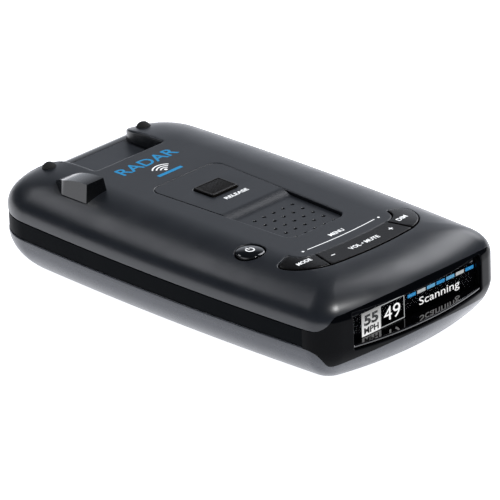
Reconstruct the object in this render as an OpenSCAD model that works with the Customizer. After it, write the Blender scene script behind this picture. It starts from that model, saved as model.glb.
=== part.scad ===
// Windshield radar detector, in millimetres.
// X points to the driver's right, the display faces -Y, the windshield end faces +Y and Z is up.
// The origin is under the middle of the case, on the surface that it rests on.

/* [Case] */
// Width of the case
case_w = 69.85; // [69:0.05:71]
// Length of the case
case_l = 133.35; // [132:0.05:135]
// Height of the flat top of the case
case_h = 27.5; // [27.4:0.1:27.8]
// Wall thickness of the two shells
wall = 1.8; // [1.6:0.1:1.9]
// Lower edge of the black side bands
band_low = 12.55; // [12.4:0.05:12.7]
// Upper edge of the black side bands
band_high = 17.5; // [17.4:0.05:17.7]

/* [Display] */
// Half of the width of the display window
window_half = 23.9; // [22:0.1:24.2]
// Lower edge of the display window
window_low = 11.2; // [10.8:0.1:11.6]
// Upper edge of the display window
window_high = 21.4; // [21:0.1:21.8]

/* [Controls] */
// How far the power, sensitivity, brightness and mute keys travel
key_travel = 0.5; // [0.3:0.1:0.6]
// Radius of the power button
power_r = 3.85; // [3.5:0.05:4]
// Gap round each key
key_gap = 0.3; // [0.28:0.01:0.34]

/* [Mount slot] */
// Half of the width of the slot for the windshield bracket
slot_half = 12.65; // [12:0.05:12.8]
// Height of the slot's floor
slot_floor = 23.3; // [23.2:0.1:23.4]

/* [Sockets] */
// Radius of the earphone bore
earphone_r = 1.8; // [1.75:0.01:1.85]
// Depth of the earphone bore
earphone_depth = 12.6; // [11:0.1:13]

/* [Hidden] */

$fn = 48;
eps = 0.01;
far = 200;
// Gap at a seam between two shells, and between a part and its seat.
seam = 0.05;
fit_gap = 0.03;

// Plan outline: long side arcs, an end arc at each end and a corner arc between them.
side_r = 915;
display_end_r = 97;
windshield_end_r = 70;
display_corner_r = 8.65;
windshield_corner_r = 15.3;
side_steps = 4;
corner_steps = 6;
end_steps = 4;

// Crown of the top shell and belly of the bottom shell, both superellipses.
crown_base = 18.9;
crown_inset = 17.6;
crown_power = 2.12;
belly_top = 12;
belly_inset = 12.3;
belly_power = 1.69;
profile_steps = 6;

// The black bezel's outline, seen from the front.
bezel_seam_y = -54.1;
brow_front = 21.9;
brow_middle = 23.2;
lip_front = 7.3;
lip_middle = 10.45;
brow_outer_x = 33.3;
brow_inner_x = 28;
lip_outer_x = 34;
lip_inner_x = 28.8;
bezel_wall = 1.5;

// The windshield panel's outline, seen from behind.
panel_seam_y = 50;
panel_low = 8;
panel_outer_x = 28;
panel_inner_x = 23;
panel_shelf_y = 57.5;

// Display stack, from the window to the carrier.
shroud_rear_y = -61.95;
cover_y = [-61.9, -61.55];
glass_y = [-61.5, -60.1];
carrier_y = [-60.05, -58.2];
glass_z = [11.6, 20.2];

// Insert with the release button and the speaker grille.
insert_rear_y = 21.8;
insert_front_y = -28.3;
insert_rear_half = 12.2;
insert_front_half = 10.3;
insert_corner_r = 3;
insert_under = 25.7;
grille_top = 26.5;
grille_under = 25;
ramp_start_y = -3.4;
ramp_end_y = -8.5;
grille_rows = 5;
grille_pitch = [3.5, 3.8];
grille_middle = [0, -19.4];
grille_hole_r = 0.5;

// Release button, latch lever and their frame.
button_half = 4.75;
button_y = [5.75, 13.25];
button_top = 28.1;
press_y = 9.5;
release_travel = 0.8;
pivot_y = -1;
pivot_z = 22.1;
pin_r = 1;
pin_clearance = 0.05;
lever_under = 21.1;
tail_under = 18.9;
lever_top = 23.1;
tooth_y = [27.5, 30.7];
// The tooth stands proud of the slot's floor at rest and sinks under it when the button is pressed.
tooth_top = slot_floor - 0.6 + release_travel * (tooth_y[1] - pivot_y) / (press_y - pivot_y);
frame_top = 17.6;
spring_r = 2.1;
spring_wire_r = 0.3;
spring_turns = 4;

// Lens, its window in the shell and the bumpers.
lens_x = -23.35;
lens_z = 26.2;
lens_half = 3.95;
lens_front_y = 30.5;
lens_top = 31.3;
lens_arch_r = 26;
laser_window_x = [-25.8, -20.9];
laser_window_y = [32, 40];
bumper_pos = [17.6, 54.5];
bumper_seat = 26.3;
slot_front_y = 41.87;
slot_flare_y = 53;
slot_flare_r = 8;
cheek = 1.3;
shelf_roll = [8.4, 7.6];
horn_rib_y = [30, 46];

// Keys.
key_proud = 0.15;
power_pos = [-22.4, -25.3];
side_key_x = 20;
side_key_y = -41;
volume_y = -44.3;
volume_x = 10;
stem_r = 0.9;
plunger_top = 24.5;
rocker_z = 24.2;
rocker_r = 0.7;
flange_z = [23.5, 24.2];

// Boards.
board_under = 11;
board_t = 1.6;
board_top = board_under + board_t;
key_board_under = 20;
key_board_top = 21.2;
switch_floor = key_board_top + 0.35;
stem_end = switch_floor + key_travel + 0.35;
board_posts = [[-25, -38], [25, -38], [-25, 18], [25, 18]];
key_posts = [[-25.4, -45.8], [25.4, -45.8], [-25.4, -33.2], [25.4, -33.2]];
case_screw_pos = [[-15.5, -51.2], [15.5, -51.2], [-17, 50.5], [17, 50.5]];
horn_ear_pos = [[-17.3, 33], [17.3, 33]];
horn_lid_pos = [[-11.3, 28.5], [11.3, 28.5], [-11.3, 47.5], [11.3, 47.5]];

// Sockets on the right side.
power_jack_y = -22;
power_jack_z = [9.8, 17];
power_cavity = [9.7, 6.6];
earphone_y = -4;
earphone_z = 15;
earphone_barrel_r = 2.1;
usb_y = 11;
usb_z = 14.7;
socket_face_x = 32.2;

// ---------- shared outlines ----------

function dir(a) = [cos(a), sin(a)];
function arc(c, r, a0, a1, n) = [for (i = [0 : n]) c + r * dir(a0 + (a1 - a0) * i / n)];
function mirror_x(points) = [for (i = [len(points) - 1 : -1 : 0]) [-points[i][0], points[i][1]]];
function span(middle, half) = [middle - half, middle + half];
function smooth(t) = let (c = min(1, max(0, t))) c * c * (3 - 2 * c);

// A corner arc keeps a soft radius however far the outline is drawn in.
function corner_r_at(corner_r, inset) = corner_r - inset + inset * inset / 18;

function corner_centre(end_r, corner_r, inset) =
    let (p = [case_w / 2 - side_r, 0],
         q = [0, case_l / 2 - end_r],
         rc = corner_r_at(corner_r, inset),
         r1 = side_r - inset - rc,
         r2 = end_r - inset - rc,
         d = norm(q - p),
         a = (r1 * r1 - r2 * r2 + d * d) / (2 * d),
         h = sqrt(r1 * r1 - a * a),
         u = (q - p) / d)
    p + a * u + h * [-u[1], u[0]];

// A quarter of the outline, from the middle of the right side to the middle of an end.
function quarter(end_r, corner_r, inset) =
    let (c = corner_centre(end_r, corner_r, inset),
         p = [case_w / 2 - side_r, 0],
         q = [0, case_l / 2 - end_r],
         a1 = atan2(c[1] - p[1], c[0] - p[0]),
         a2 = atan2(c[1] - q[1], c[0] - q[0]))
    concat([for (i = [0 : side_steps - 1]) p + (side_r - inset) * dir(a1 * i / side_steps)],
           [for (i = [0 : corner_steps - 1])
               c + corner_r_at(corner_r, inset) * dir(a1 + (a2 - a1) * i / corner_steps)],
           arc(q, end_r - inset, a2, 90, end_steps));

// The whole plan outline, drawn in by inset.
function plan(inset) =
    let (back = quarter(windshield_end_r, windshield_corner_r, inset),
         half = quarter(display_end_r, display_corner_r, inset),
         n = len(back) - 1,
         front = [for (p = half) [p[0], -p[1]]])
    concat([for (i = [0 : n]) back[i]],
           [for (i = [n - 1 : -1 : 0]) [-back[i][0], back[i][1]]],
           [for (i = [1 : n]) [-front[i][0], front[i][1]]],
           [for (i = [n - 1 : -1 : 1]) front[i]]);

function ring(inset, z) = [for (p = plan(inset)) [p[0], p[1], z]];

// Rings of the crown, from its base up, for a wall drawn in by t.
function crown_rings(t) =
    [for (i = [0 : profile_steps])
        let (a = 90 * i / profile_steps,
             rise = pow(sin(a), 2 / crown_power),
             draw = 1 - pow(cos(a), 2 / crown_power))
        ring(t + (crown_inset - t) * draw, crown_base + (case_h - t - crown_base) * rise)];

// Rings of the belly, from the flat bottom up, for a wall drawn in by t.
function belly_rings(t) =
    [for (i = [0 : profile_steps])
        let (a = 90 * i / profile_steps,
             fall = pow(cos(a), 2 / belly_power),
             draw = 1 - pow(sin(a), 2 / belly_power))
        ring(t + (belly_inset - t) * draw, belly_top - (belly_top - t) * fall)];

function reversed(list) = [for (i = [len(list) - 1 : -1 : 0]) list[i]];

// Skin over rings of equal length. A closed skin joins its last ring to its first.
module skin(rings, closed = false) {
    n = len(rings[0]);
    m = len(rings);
    points = [for (r = rings) each r];
    sides = [for (k = [0 : (closed ? m - 1 : m - 2)])
                for (i = [0 : n - 1])
                    let (j = (i + 1) % n, a = k * n, b = ((k + 1) % m) * n)
                    [b + i, b + j, a + j, a + i]];
    caps = closed ? [] : [[for (i = [0 : n - 1]) i],
                          [for (i = [n - 1 : -1 : 0]) (m - 1) * n + i]];
    polyhedron(points, concat(sides, caps), convexity = 8);
}

// The whole outer form of the case.
module case_form() {
    skin(concat(belly_rings(0), crown_rings(0)));
}

// The inner form of the case behind a wall t thick.
module inner_form(t) {
    skin(concat(belly_rings(t), crown_rings(t)));
}

// The crown alone, solid, above the height at which the side starts to lean in.
module crown_form() {
    skin(concat([ring(0, band_low)], crown_rings(0)));
}

// The side walls of the case, t thick, with no floor and no top.
module side_wall(t) {
    lower = [for (i = [1 : profile_steps]) i];
    upper = [for (i = [0 : profile_steps - 1]) i];
    outer = concat([for (i = lower) belly_rings(0)[i]], [for (i = upper) crown_rings(0)[i]]);
    inner = concat([for (i = lower) belly_rings(t)[i]], [for (i = upper) crown_rings(t)[i]]);
    skin(concat(outer, reversed(inner)), closed = true);
}

module along_y(y0, y1) {
    translate([0, y1, 0])
        rotate([90, 0, 0])
            linear_extrude(y1 - y0)
                children();
}

module along_x(x0, x1) {
    translate([x0, 0, 0])
        rotate([90, 0, 90])
            linear_extrude(x1 - x0)
                children();
}

module block(x, y, z) {
    translate([x[0], y[0], z[0]])
        cube([x[1] - x[0], y[1] - y[0], z[1] - z[0]]);
}

module post(p, r, z0, z1) {
    translate([p[0], p[1], z0])
        cylinder(r = r, h = z1 - z0);
}

// Zone of a black end cap, seen along Y. It widens from the bands to the end by an S curve.
module cap_zone(low, high, grow) {
    xs = [for (i = [-24 : 24]) case_w / 2 * i / 24 * 1.02];
    polygon(concat([for (x = xs) [x, low(abs(x)) - grow]],
                   [for (i = [len(xs) - 1 : -1 : 0]) [xs[i], high(abs(xs[i])) + grow]]));
}

function bezel_high(x) =
    let (arch = brow_middle - (brow_middle - brow_front) * pow(x / 25, 2),
         t = smooth((brow_outer_x - x) / (brow_outer_x - brow_inner_x)))
    band_high + (arch - band_high) * t;

function bezel_low(x) =
    let (arch = lip_middle - (lip_middle - lip_front) * pow(x / lip_inner_x, 2),
         t = smooth((lip_outer_x - x) / (lip_outer_x - lip_inner_x)))
    band_low + (arch - band_low) * t;

function panel_bottom(x) =
    band_low - (band_low - panel_low) * smooth((panel_outer_x - x) / (panel_outer_x - panel_inner_x));

module bezel_zone(grow) {
    along_y(-80, bezel_seam_y + grow)
        cap_zone(function (x) bezel_low(x), function (x) bezel_high(x), grow);
}

module panel_zone(grow) {
    intersection() {
        along_y(panel_seam_y, 80)
            cap_zone(function (x) panel_bottom(x), function (x) band_high, grow);
        block([-26 - grow, 26 + grow], [panel_seam_y, 80], [0, 40]);
    }
}

// ---------- case ----------

module bottom_housing() {
    color("#5c6068")
    difference() {
        union() {
            difference() {
                skin(concat(belly_rings(0), [ring(0, band_low - seam), ring(wall, band_low - seam)],
                            reversed(belly_rings(wall))));
                bezel_zone(seam);
                panel_zone(seam);
            }
            for (p = board_posts)
                post(p, 2.6, 2, board_under - fit_gap);
            for (p = case_screw_pos)
                post(p, 3.2, 1, 9);
            for (y = horn_rib_y)
                block([-12, 12], [y, y + 1.6], [1, 2.95]);
        }
        for (p = board_posts)
            post(p, 1.05, 4, board_under + 1);
        for (p = case_screw_pos) {
            post(p, 1.6, -1, 10);
            post(p, 2.6, -1, 3.5);
        }
        block([-16.2, 16.2], [-30.2, 10.2], [-1, 0.4]);
        side_openings();
    }
}

// Openings for the three sockets in the right side.
module side_openings() {
    block([socket_face_x - 0.5, far], span(power_jack_y, 5), power_jack_z + [0.5, -0.5]);
    translate([socket_face_x - 0.5, earphone_y, earphone_z])
        rotate([0, 90, 0])
            cylinder(r = earphone_barrel_r + 0.1, h = 10);
    block([socket_face_x - 0.5, far], span(usb_y, 4.1), span(usb_z, 2.15));
}

module top_housing() {
    color("#3a3d42")
    difference() {
        union() {
            difference() {
                skin(concat(reversed(crown_rings(wall)),
                            [ring(wall, band_high + seam), ring(0, band_high + seam)],
                            crown_rings(0)));
                bezel_zone(seam);
                slot_space();
                linear_extrude(far)
                    polygon(insert_outline(0.12));
            }
            slot_cheeks();
            for (p = case_screw_pos)
                post(p, 2.6, 9.3, 25.8);
            for (p = key_posts)
                post(p, 1.9, key_board_top + fit_gap, 25.4);
        }
        for (p = case_screw_pos)
            post(p, 1.25, 9, 20);
        for (p = key_posts)
            post(p, 0.85, key_board_top - 1, 24.3);
        for (s = [-1, 1]) {
            linear_extrude(far)
                polygon(side_key_outline(s, key_gap));
            post([s * bumper_pos[0], bumper_pos[1]], 1.25, 20, 30);
            post([s * bumper_pos[0], bumper_pos[1]], 2.15, bumper_seat - seam, 30);
        }
        linear_extrude(far)
            polygon(volume_outline(key_gap));
        post(power_pos, power_r + key_gap, 20, 30);
        block(laser_window_x, laser_window_y, [20, 30]);
        skin([lens_ring(-0.1, lens_z - seam), lens_ring(-0.1, 35)]);
    }
}

// Plan of the mount slot, grown by g. Its sides flare out to the windshield end.
function slot_outline(g) =
    let (c = [slot_half + slot_flare_r, slot_flare_y],
         right = concat([[slot_half + g, slot_front_y - g]], arc(c, slot_flare_r - g, 180, 90, 6),
                        [[c[0], 80]]))
    concat(right, mirror_x(right));

// Space of the mount slot, open upwards and to the windshield end.
module slot_space() {
    translate([0, 0, slot_floor])
        linear_extrude(far)
            polygon(slot_outline(0));
    intersection() {
        linear_extrude(far)
            polygon(slot_outline(0));
        block([-far, far], [panel_shelf_y, far], [band_high - 1, far]);
    }
}

// Inner side walls of the mount slot.
module slot_cheeks() {
    intersection() {
        crown_form();
        translate([0, 0, slot_floor])
            linear_extrude(far)
                difference() {
                    polygon(slot_outline(cheek));
                    polygon(slot_outline(0));
                }
        block([-far, far], [slot_front_y + 0.2, panel_shelf_y], [0, far]);
    }
}

// A side band: the straight-sided wall between the shells, on one side of the case.
module side_band(s) {
    difference() {
        translate([0, 0, band_low])
            linear_extrude(band_high - band_low)
                difference() {
                    polygon(plan(0));
                    polygon(plan(wall));
                }
        block([-far, far], [-far, bezel_seam_y + 2 * seam], [0, far]);
        block([-26.1, 26.1], [0, far], [0, far]);
        if (s > 0)
            block([-far, 0], [-far, far], [0, far]);
        else
            block([0, far], [-far, far], [0, far]);
        if (s > 0)
            side_openings();
    }
}

module left_side_band() {
    color("#0e1318")
        side_band(-1);
}

module right_side_band() {
    color("#0e1318")
        side_band(1);
}

// Smoked panel that covers the horn and the windshield laser sensor. Its top rolls down from the slot.
module windshield_panel() {
    color("#101215")
    difference() {
        union() {
            intersection() {
                side_wall(wall);
                panel_zone(0);
            }
            intersection() {
                crown_form();
                translate([0, 0, band_high - 1])
                    linear_extrude(slot_floor - band_high + 1)
                        polygon(slot_outline(-seam));
                along_x(-30, 30)
                    polygon(concat([[panel_shelf_y, 10]], shelf_arc(0), [[80, 10]]));
            }
        }
        intersection() {
            inner_form(wall);
            along_x(-30, 30)
                polygon(concat([[panel_shelf_y + wall, 0]], shelf_arc(wall), [[80, 0]]));
        }
    }
}

// Roll of the panel's top, drawn in by t.
function shelf_arc(t) =
    [for (i = [0 : 8])
        let (a = 90 * i / 8)
        [panel_shelf_y + t + (shelf_roll[0] - t) * sin(a),
         slot_floor - seam - shelf_roll[1] + (shelf_roll[1] - t) * cos(a)]];

module front_bezel() {
    color("#08090b")
    difference() {
        intersection() {
            side_wall(bezel_wall);
            bezel_zone(0);
        }
        block([-window_half, window_half], [-80, bezel_seam_y - 1], [window_low, window_high]);
    }
}

// ---------- display ----------

// Upper and lower lips of the tunnel between the window and the display.
module display_shroud() {
    color("#0b0b0d")
    difference() {
        intersection() {
            inner_form(bezel_wall + 0.05);
            block([-25.2, 25.2], [-70, shroud_rear_y], [lip_middle + 0.15, 22.4]);
        }
        hull() {
            block([-window_half, window_half], [-72, -71.9], [window_low - 0.3, window_high]);
            block([-23.4, 23.4], [shroud_rear_y, shroud_rear_y + 0.1], [12.4, 19.8]);
        }
    }
}

module display_window() {
    color("#c8d0d8", 0.35)
        block([-23.8, 23.8], cover_y, glass_z);
}

module display_panel() {
    color("#050607")
        block([-23.8, 23.8], glass_y, glass_z);
}

// Bracket behind the display, with two feet under it.
module display_carrier() {
    color("#2a2c30")
    difference() {
        union() {
            block([-25, 25], carrier_y, [9.8, 21.4]);
            for (x = [-20, 17])
                block([x, x + 3], [carrier_y[1], -54.5], [9.8, 11]);
        }
        block([-8, 8], carrier_y + [-1, 1], [11.5, 15]);
    }
}

// Flat cable from the display to the front edge of the main board.
module display_flex() {
    color("#b06a1e")
        along_x(-6, 6)
            polygon([[-60, 12.6], [-58, 12.6], [-56.5, 12.9], [-46, 12.9], [-46, 13.2],
                     [-56.6, 13.2], [-58.1, 12.9], [-60, 12.9]]);
}

// ---------- insert, grille and speaker ----------

// Tapered outline with round corners, grown by g.
function insert_outline(g) =
    let (r = insert_corner_r,
         xr = insert_rear_half - r,
         yr = insert_rear_y - r,
         xf = insert_front_half - r,
         yf = insert_front_y + r)
    concat(arc([xr, yr], r + g, 2, 90, 6),
           arc([-xr, yr], r + g, 90, 178, 6),
           arc([-xf, yf], r + g, 182, 270, 6),
           arc([xf, yf], r + g, 270, 358, 6));

module top_insert() {
    color("#3d4045")
    difference() {
        union() {
            intersection() {
                linear_extrude(40)
                    polygon(insert_outline(0));
                along_x(-20, 20)
                    polygon([[insert_rear_y + 1, case_h], [ramp_start_y, case_h],
                             [ramp_end_y, grille_top], [insert_front_y - 1, grille_top],
                             [insert_front_y - 1, grille_under], [ramp_end_y + 0.5, grille_under],
                             [ramp_start_y + 0.5, insert_under], [insert_rear_y + 1, insert_under]]);
            }
            translate([0, 0, insert_under - 1.05])
                linear_extrude(1)
                    difference() {
                        polygon(insert_outline(1.2));
                        polygon(insert_outline(-1.2));
                    }
            translate([0, 0, insert_under - 1.05])
                linear_extrude(1.15)
                    difference() {
                        polygon(insert_outline(0));
                        polygon(insert_outline(-1.2));
                    }
        }
        for (i = [0 : grille_rows - 1], j = [0 : grille_rows - 1])
            post(grille_middle + [(i - 2) * grille_pitch[0], (j - 2) * grille_pitch[1]],
                 grille_hole_r, 20, 30);
        block([-button_half - 0.2, button_half + 0.2], button_y + [-0.2, 0.2], [20, 30]);
    }
}

module speaker_cloth() {
    color("#1c1d20")
        block([-8.4, 8.4], [-26.7, -9.6], [grille_under - 0.3, grille_under - 0.05]);
}

module speaker_frame() {
    color("#8f9296")
    translate([0, grille_middle[1], 0])
        rotate_extrude()
            polygon([[6.7, 19.6], [8, 19.6], [10.4, 23.2], [10.4, 24.6], [9.4, 24.6], [9.4, 23.4],
                     [7.4, 20.6], [6.7, 20.6]]);
}

module speaker_cone() {
    color("#26272a")
    translate([0, grille_middle[1], 0])
        rotate_extrude()
            polygon([[0, 22.2], [2.6, 21.4], [3.6, 21.2], [8.4, 23.7], [9, 24.1], [9.3, 23.7],
                     [9.3, 23.9], [9, 24.4], [8.3, 24], [3.6, 21.6], [2.7, 21.8], [0, 22.6]]);
}

module speaker_magnet() {
    color("#6d6f73")
    translate([0, grille_middle[1], 0])
        rotate_extrude()
            polygon([[0, 16.2], [6.2, 16.2], [6.2, 18.6], [6.6, 18.6], [6.6, 20.8], [3.2, 20.8],
                     [3.2, 20.2], [0, 20.2]]);
}

// ---------- windshield end ----------

// Lens of the rear laser sensor: a wedge with leaning sides whose top falls away to the back.
module rear_laser_lens() {
    color("#0a0b0d")
    intersection() {
        union() {
            skin([lens_ring(0, lens_z), lens_ring(0.9, lens_z + 5)]);
            block(laser_window_x + [0.15, -0.15], laser_window_y + [0.15, -0.15], [25.2, lens_z + 1]);
        }
        translate([-50, lens_front_y + 1.5, lens_top - lens_arch_r])
            rotate([0, 90, 0])
                cylinder(r = lens_arch_r, h = 50, $fn = 96);
    }
}

// Plan of the lens at height z, drawn in by g: straight at the front, round at the back.
function lens_ring(g, z) =
    let (half = concat([[lens_half - g, lens_front_y + g / 2]],
                       arc([0, lens_front_y + 9.5], lens_half - g, 0, 40, 3)))
    [for (p = concat(half, [[0, lens_front_y + 15.2 - g]], mirror_x(half))) [p[0] + lens_x, p[1], z]];

module rear_laser_sensor() {
    color("#20402a") {
        block([-26.5, -20.5], [37, 38], [board_top + fit_gap, 24]);
        block([-25, -22], [34.8, 37], [20.6, 23.8]);
    }
}

module windshield_laser_sensor() {
    color("#20402a")
    union() {
        block([20.5, 26.5], [53, 54], [board_top + fit_gap, 19.5]);
        translate([23.5, 54, 16])
            rotate([-90, 0, 0])
                cylinder(r = 2.4, h = 2.6);
    }
}

// Two soft domes that steady the case against the glass.
module windshield_bumpers() {
    color("#141518")
    for (s = [-1, 1])
        translate([s * bumper_pos[0], bumper_pos[1], 0])
            rotate_extrude()
                intersection() {
                    union() {
                        square([1.2, 26.6]);
                        translate([0, 26])
                            circle(r = 2.1);
                        translate([0, 25.9])
                            square([2.1, 0.2]);
                    }
                    translate([0, 24])
                        square([3, 10]);
                    union() {
                        square([1.2, 40]);
                        translate([0, bumper_seat])
                            square([3, 10]);
                    }
                }
}

// Channel for the bracket's tongue: the slot's floor and two rails under the top shell.
module mount_guide() {
    color("#34363b")
    difference() {
        union() {
            block([-13.9, 13.9], [26, panel_shelf_y - 0.1], [slot_floor - 1, slot_floor - seam]);
            for (x = [-13.9, 12.7])
                block([x, x + 1.2], [26, slot_front_y], [slot_floor - 0.5, case_h - wall - seam]);
        }
        block([-3.4, 3.4], [26.6, 31.8], [20, 30]);
    }
}

// ---------- release ----------

module release_button() {
    color("#17130f")
    union() {
        block([-button_half, button_half], button_y, [25, button_top]);
        block([-button_half - 0.8, button_half + 0.8], button_y + [-0.8, 0.8], [24.4, 25.4]);
        post([0, press_y], 1.5, lever_top + 0.3, 25);
    }
}

// Lever that carries the catch. The button presses it down between its pivot and its tooth.
module release_latch() {
    color("#4a4d52")
    difference() {
        union() {
            along_x(-4.4, 4.4) {
                translate([pivot_y, pivot_z])
                    circle(r = 2.2);
                polygon([[pivot_y, lever_under], [22, lever_under], [22, lever_top],
                         [pivot_y, lever_top]]);
            }
            along_x(-2.6, 2.6)
                polygon([[19.5, tail_under], [tooth_y[1] + 1, tail_under], [tooth_y[1] + 1, lever_under],
                         [tooth_y[1], lever_under], [tooth_y[1], tooth_top - 1.2],
                         [tooth_y[0] + 1, tooth_top], [tooth_y[0], tooth_top],
                         [tooth_y[0], lever_under], [19.5, lever_under + 1]]);
        }
        translate([-10, pivot_y, pivot_z])
            rotate([0, 90, 0])
                cylinder(r = pin_r + pin_clearance, h = 20);
    }
}

module latch_pin() {
    color("#c3c5c8")
    translate([-7.6, pivot_y, pivot_z])
        rotate([0, 90, 0])
            cylinder(r = pin_r, h = 15.2);
}

// Frame under the insert: a plate, two legs and two ears for the pin.
module release_frame() {
    color("#2c2e33")
    difference() {
        union() {
            block([-11.3, 11.3], [-4, 16], [frame_top - 1.2, frame_top]);
            for (s = [-1, 1]) {
                block(s > 0 ? [9.6, 11.3] : [-11.3, -9.6], [-4, 16], [frame_top, 24.55]);
                block(s > 0 ? [5, 7.2] : [-7.2, -5], [pivot_y - 2.6, pivot_y + 2.6],
                      [frame_top, 24.9]);
            }
            translate([0, press_y, frame_top])
                cylinder(r = 1.3, h = 0.8);
        }
        translate([-10, pivot_y, pivot_z])
            rotate([0, 90, 0])
                cylinder(r = pin_r, h = 20);
    }
}

// Coil spring between the frame and the lever, swept along a helix.
module release_spring() {
    color("#b9bcc0") {
        sides = 6;
        per_turn = 14;
        count = spring_turns * per_turn;
        z0 = frame_top + spring_wire_r + 0.05;
        rise = lever_under - frame_top - 2 * spring_wire_r - 0.1;
        rings = [for (i = [0 : count])
            let (a = 360 * i / per_turn)
            [for (k = [0 : sides - 1])
                let (b = -360 * k / sides, q = spring_r + spring_wire_r * cos(b))
                [q * cos(a), press_y + q * sin(a), z0 + rise * i / count + spring_wire_r * sin(b)]]];
        skin(rings);
    }
}

// ---------- keys ----------

// Outline of a side key, s = -1 left and 1 right, grown by g.
function side_key_outline(s, g) =
    let (right = concat([[13.65 - g, -40.15 + g], [15.35 - g, -47.35 - g]],
                        arc([13.1, -36.5], 11 + g, -74, -10, 8),
                        [[23.9 + g, -37.4 + g / 2], [23.2 + g / 2, -36.6 + g],
                         [19.3, -35.4 + g], [18.6 - g, -35.6 + g]],
                        arc([13.5, -35], 5.15 - g, -14, -80, 5)))
    s > 0 ? right : mirror_x(right);

// Outline of the volume bar, grown by g. Both long edges bow towards the display.
function volume_outline(g) =
    concat(arc([0, 60.5], 109 + g, 270 - 7.85 - g / 2, 270 + 7.85 + g / 2, 8),
           arc([0, 75.1], 116 - g, 270 + 6.5 + g / 2, 270 - 6.5 - g / 2, 8));

// A side key: its cap, cut to the crown of the case, a flange that keeps it in and its stem.
module side_key(s) {
    union() {
        intersection() {
            translate([0, 0, flange_z[0]])
                linear_extrude(10)
                    polygon(side_key_outline(s, 0));
            translate([0, 0, key_proud])
                crown_form();
        }
        intersection() {
            translate([0, 0, flange_z[0]])
                linear_extrude(flange_z[1] - flange_z[0])
                    polygon(side_key_outline(s, 0.6));
            block(s > 0 ? [14, 30] : [-30, -14], [-60, 0], [0, 40]);
        }
        post([s * side_key_x, side_key_y], stem_r, stem_end, 24);
    }
}

module sensitivity_key() {
    color("#15120f")
        side_key(-1);
}

module brightness_key() {
    color("#15120f")
        side_key(1);
}

// The volume bar rocks on the plunger's round ridge, in a groove across its underside.
module volume_bar() {
    color("#15120f")
    union() {
        difference() {
            intersection() {
                translate([0, 0, plunger_top + 0.3])
                    linear_extrude(10)
                        polygon(volume_outline(0));
                translate([0, 0, key_proud])
                    crown_form();
            }
            rocker_ridge(rocker_r + 0.05, 6);
        }
        for (x = [-volume_x, volume_x])
            post([x, volume_y], stem_r, stem_end + 0.7, 25);
    }
}

// Round ridge along Y at the volume bar's rocking axis.
module rocker_ridge(r, half_length) {
    along_y(volume_y - half_length, volume_y + half_length)
        translate([0, rocker_z])
            circle(r = r);
}

module mute_plunger() {
    color("#3a3c40")
    union() {
        rocker_ridge(rocker_r, 1.6);
        post([0, volume_y], stem_r, stem_end, plunger_top);
        block([-2.4, 2.4], span(volume_y, 1.6), [23.6, plunger_top]);
    }
}

module power_button() {
    color("#0d0e10")
    translate([power_pos[0], power_pos[1], 0])
        rotate_extrude()
            polygon(concat([[0, stem_end], [stem_r, stem_end], [stem_r, flange_z[0]],
                            [power_r + 0.5, flange_z[0]], [power_r + 0.5, flange_z[1]],
                            [power_r, flange_z[1]], [power_r, 26.7]],
                           [for (i = [0 : 8]) [power_r * cos(90 * i / 8), 26.9 + 1.1 * sin(90 * i / 8)]]));
}

// ---------- boards ----------

module key_board() {
    color("#1f4a33")
    difference() {
        union() {
            block([-27.5, 27.5], [-47.2, -31.2], [key_board_under, key_board_top]);
            block([-27.5, -14.5], [-31.3, -20.5], [key_board_under, key_board_top]);
        }
        for (p = key_posts)
            post(p, 0.95, 10, 30);
    }
}

module key_switches() {
    color("#2b2d30")
    for (p = [power_pos, [-side_key_x, side_key_y], [side_key_x, side_key_y],
              [-volume_x, volume_y], [volume_x, volume_y], [0, volume_y]])
        difference() {
            block(span(p[0], 2.4), span(p[1], 2.4),
                  [key_board_top + fit_gap, key_board_top + 1.5]);
            post(p, stem_r + 0.35, switch_floor, 30);
        }
}

module main_circuit_board() {
    color("#1f4a33")
    difference() {
        union() {
            block([-28, 28], [-46.5, 24], [board_under, board_top]);
            for (s = [-1, 1])
                block(s > 0 ? [15.6, 28] : [-28, -15.6], [23.9, 46], [board_under, board_top]);
            block([20.4, 27.5], [45.9, 55], [board_under, board_top]);
        }
        for (p = board_posts)
            post(p, 1.1, 5, 20);
        for (p = horn_ear_pos)
            post(p, 0.9, 5, 20);
        block([20.3, 30], span(power_jack_y, 6.3), [5, 20]);
    }
}

module chip(x, y, height) {
    block(x, y, [board_top + fit_gap, board_top + height]);
}

module processor_chip() {
    color("#18191b")
        chip([-19, -5], [-2, 12], 1.5);
}

module memory_chips() {
    color("#18191b") {
        chip([-21, -15], [-16, -6], 1.2);
        chip([-12.5, -6.5], [-16, -6], 1.2);
    }
}

module wireless_module() {
    color("#9a9da1")
        chip([3, 15], [-2, 14], 2.4);
}

module storage_capacitor() {
    color("#2c3a66")
        post([-17, -37], 3.2, board_top + fit_gap, board_top + 6.6);
}

module power_inductor() {
    color("#3b3d40")
        chip([4, 11], [-40, -33], 4);
}

// Pins that join the key board to the main board.
module board_link() {
    color("#15161a")
        block([14.5, 22.5], [-34.8, -32.4], [board_top + fit_gap, key_board_under - fit_gap]);
}

// Cast horn antenna. It flares towards the windshield and is closed by the microwave board.
module radar_horn() {
    color("#a9acb0")
    difference() {
        union() {
            block([-13.2, 13.2], [26, 56.5], [3, 15]);
            for (s = [-1, 1])
                block(s > 0 ? [13, 19] : [-19, -13], [30, 36], [board_top + fit_gap, board_top + 1.5]);
        }
        hull() {
            block([-11.8, 11.8], [56.5, 56.6], [4.2, 13.6]);
            block([-5, 5], [35, 35.1], [6.6, 11.4]);
        }
        block([-9.5, 9.5], [30.2, 33.4], [6, 16]);
        for (p = horn_ear_pos)
            post(p, 0.9, 10, 20);
        for (p = horn_lid_pos)
            post(p, 0.85, 8, 20);
    }
}

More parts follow.
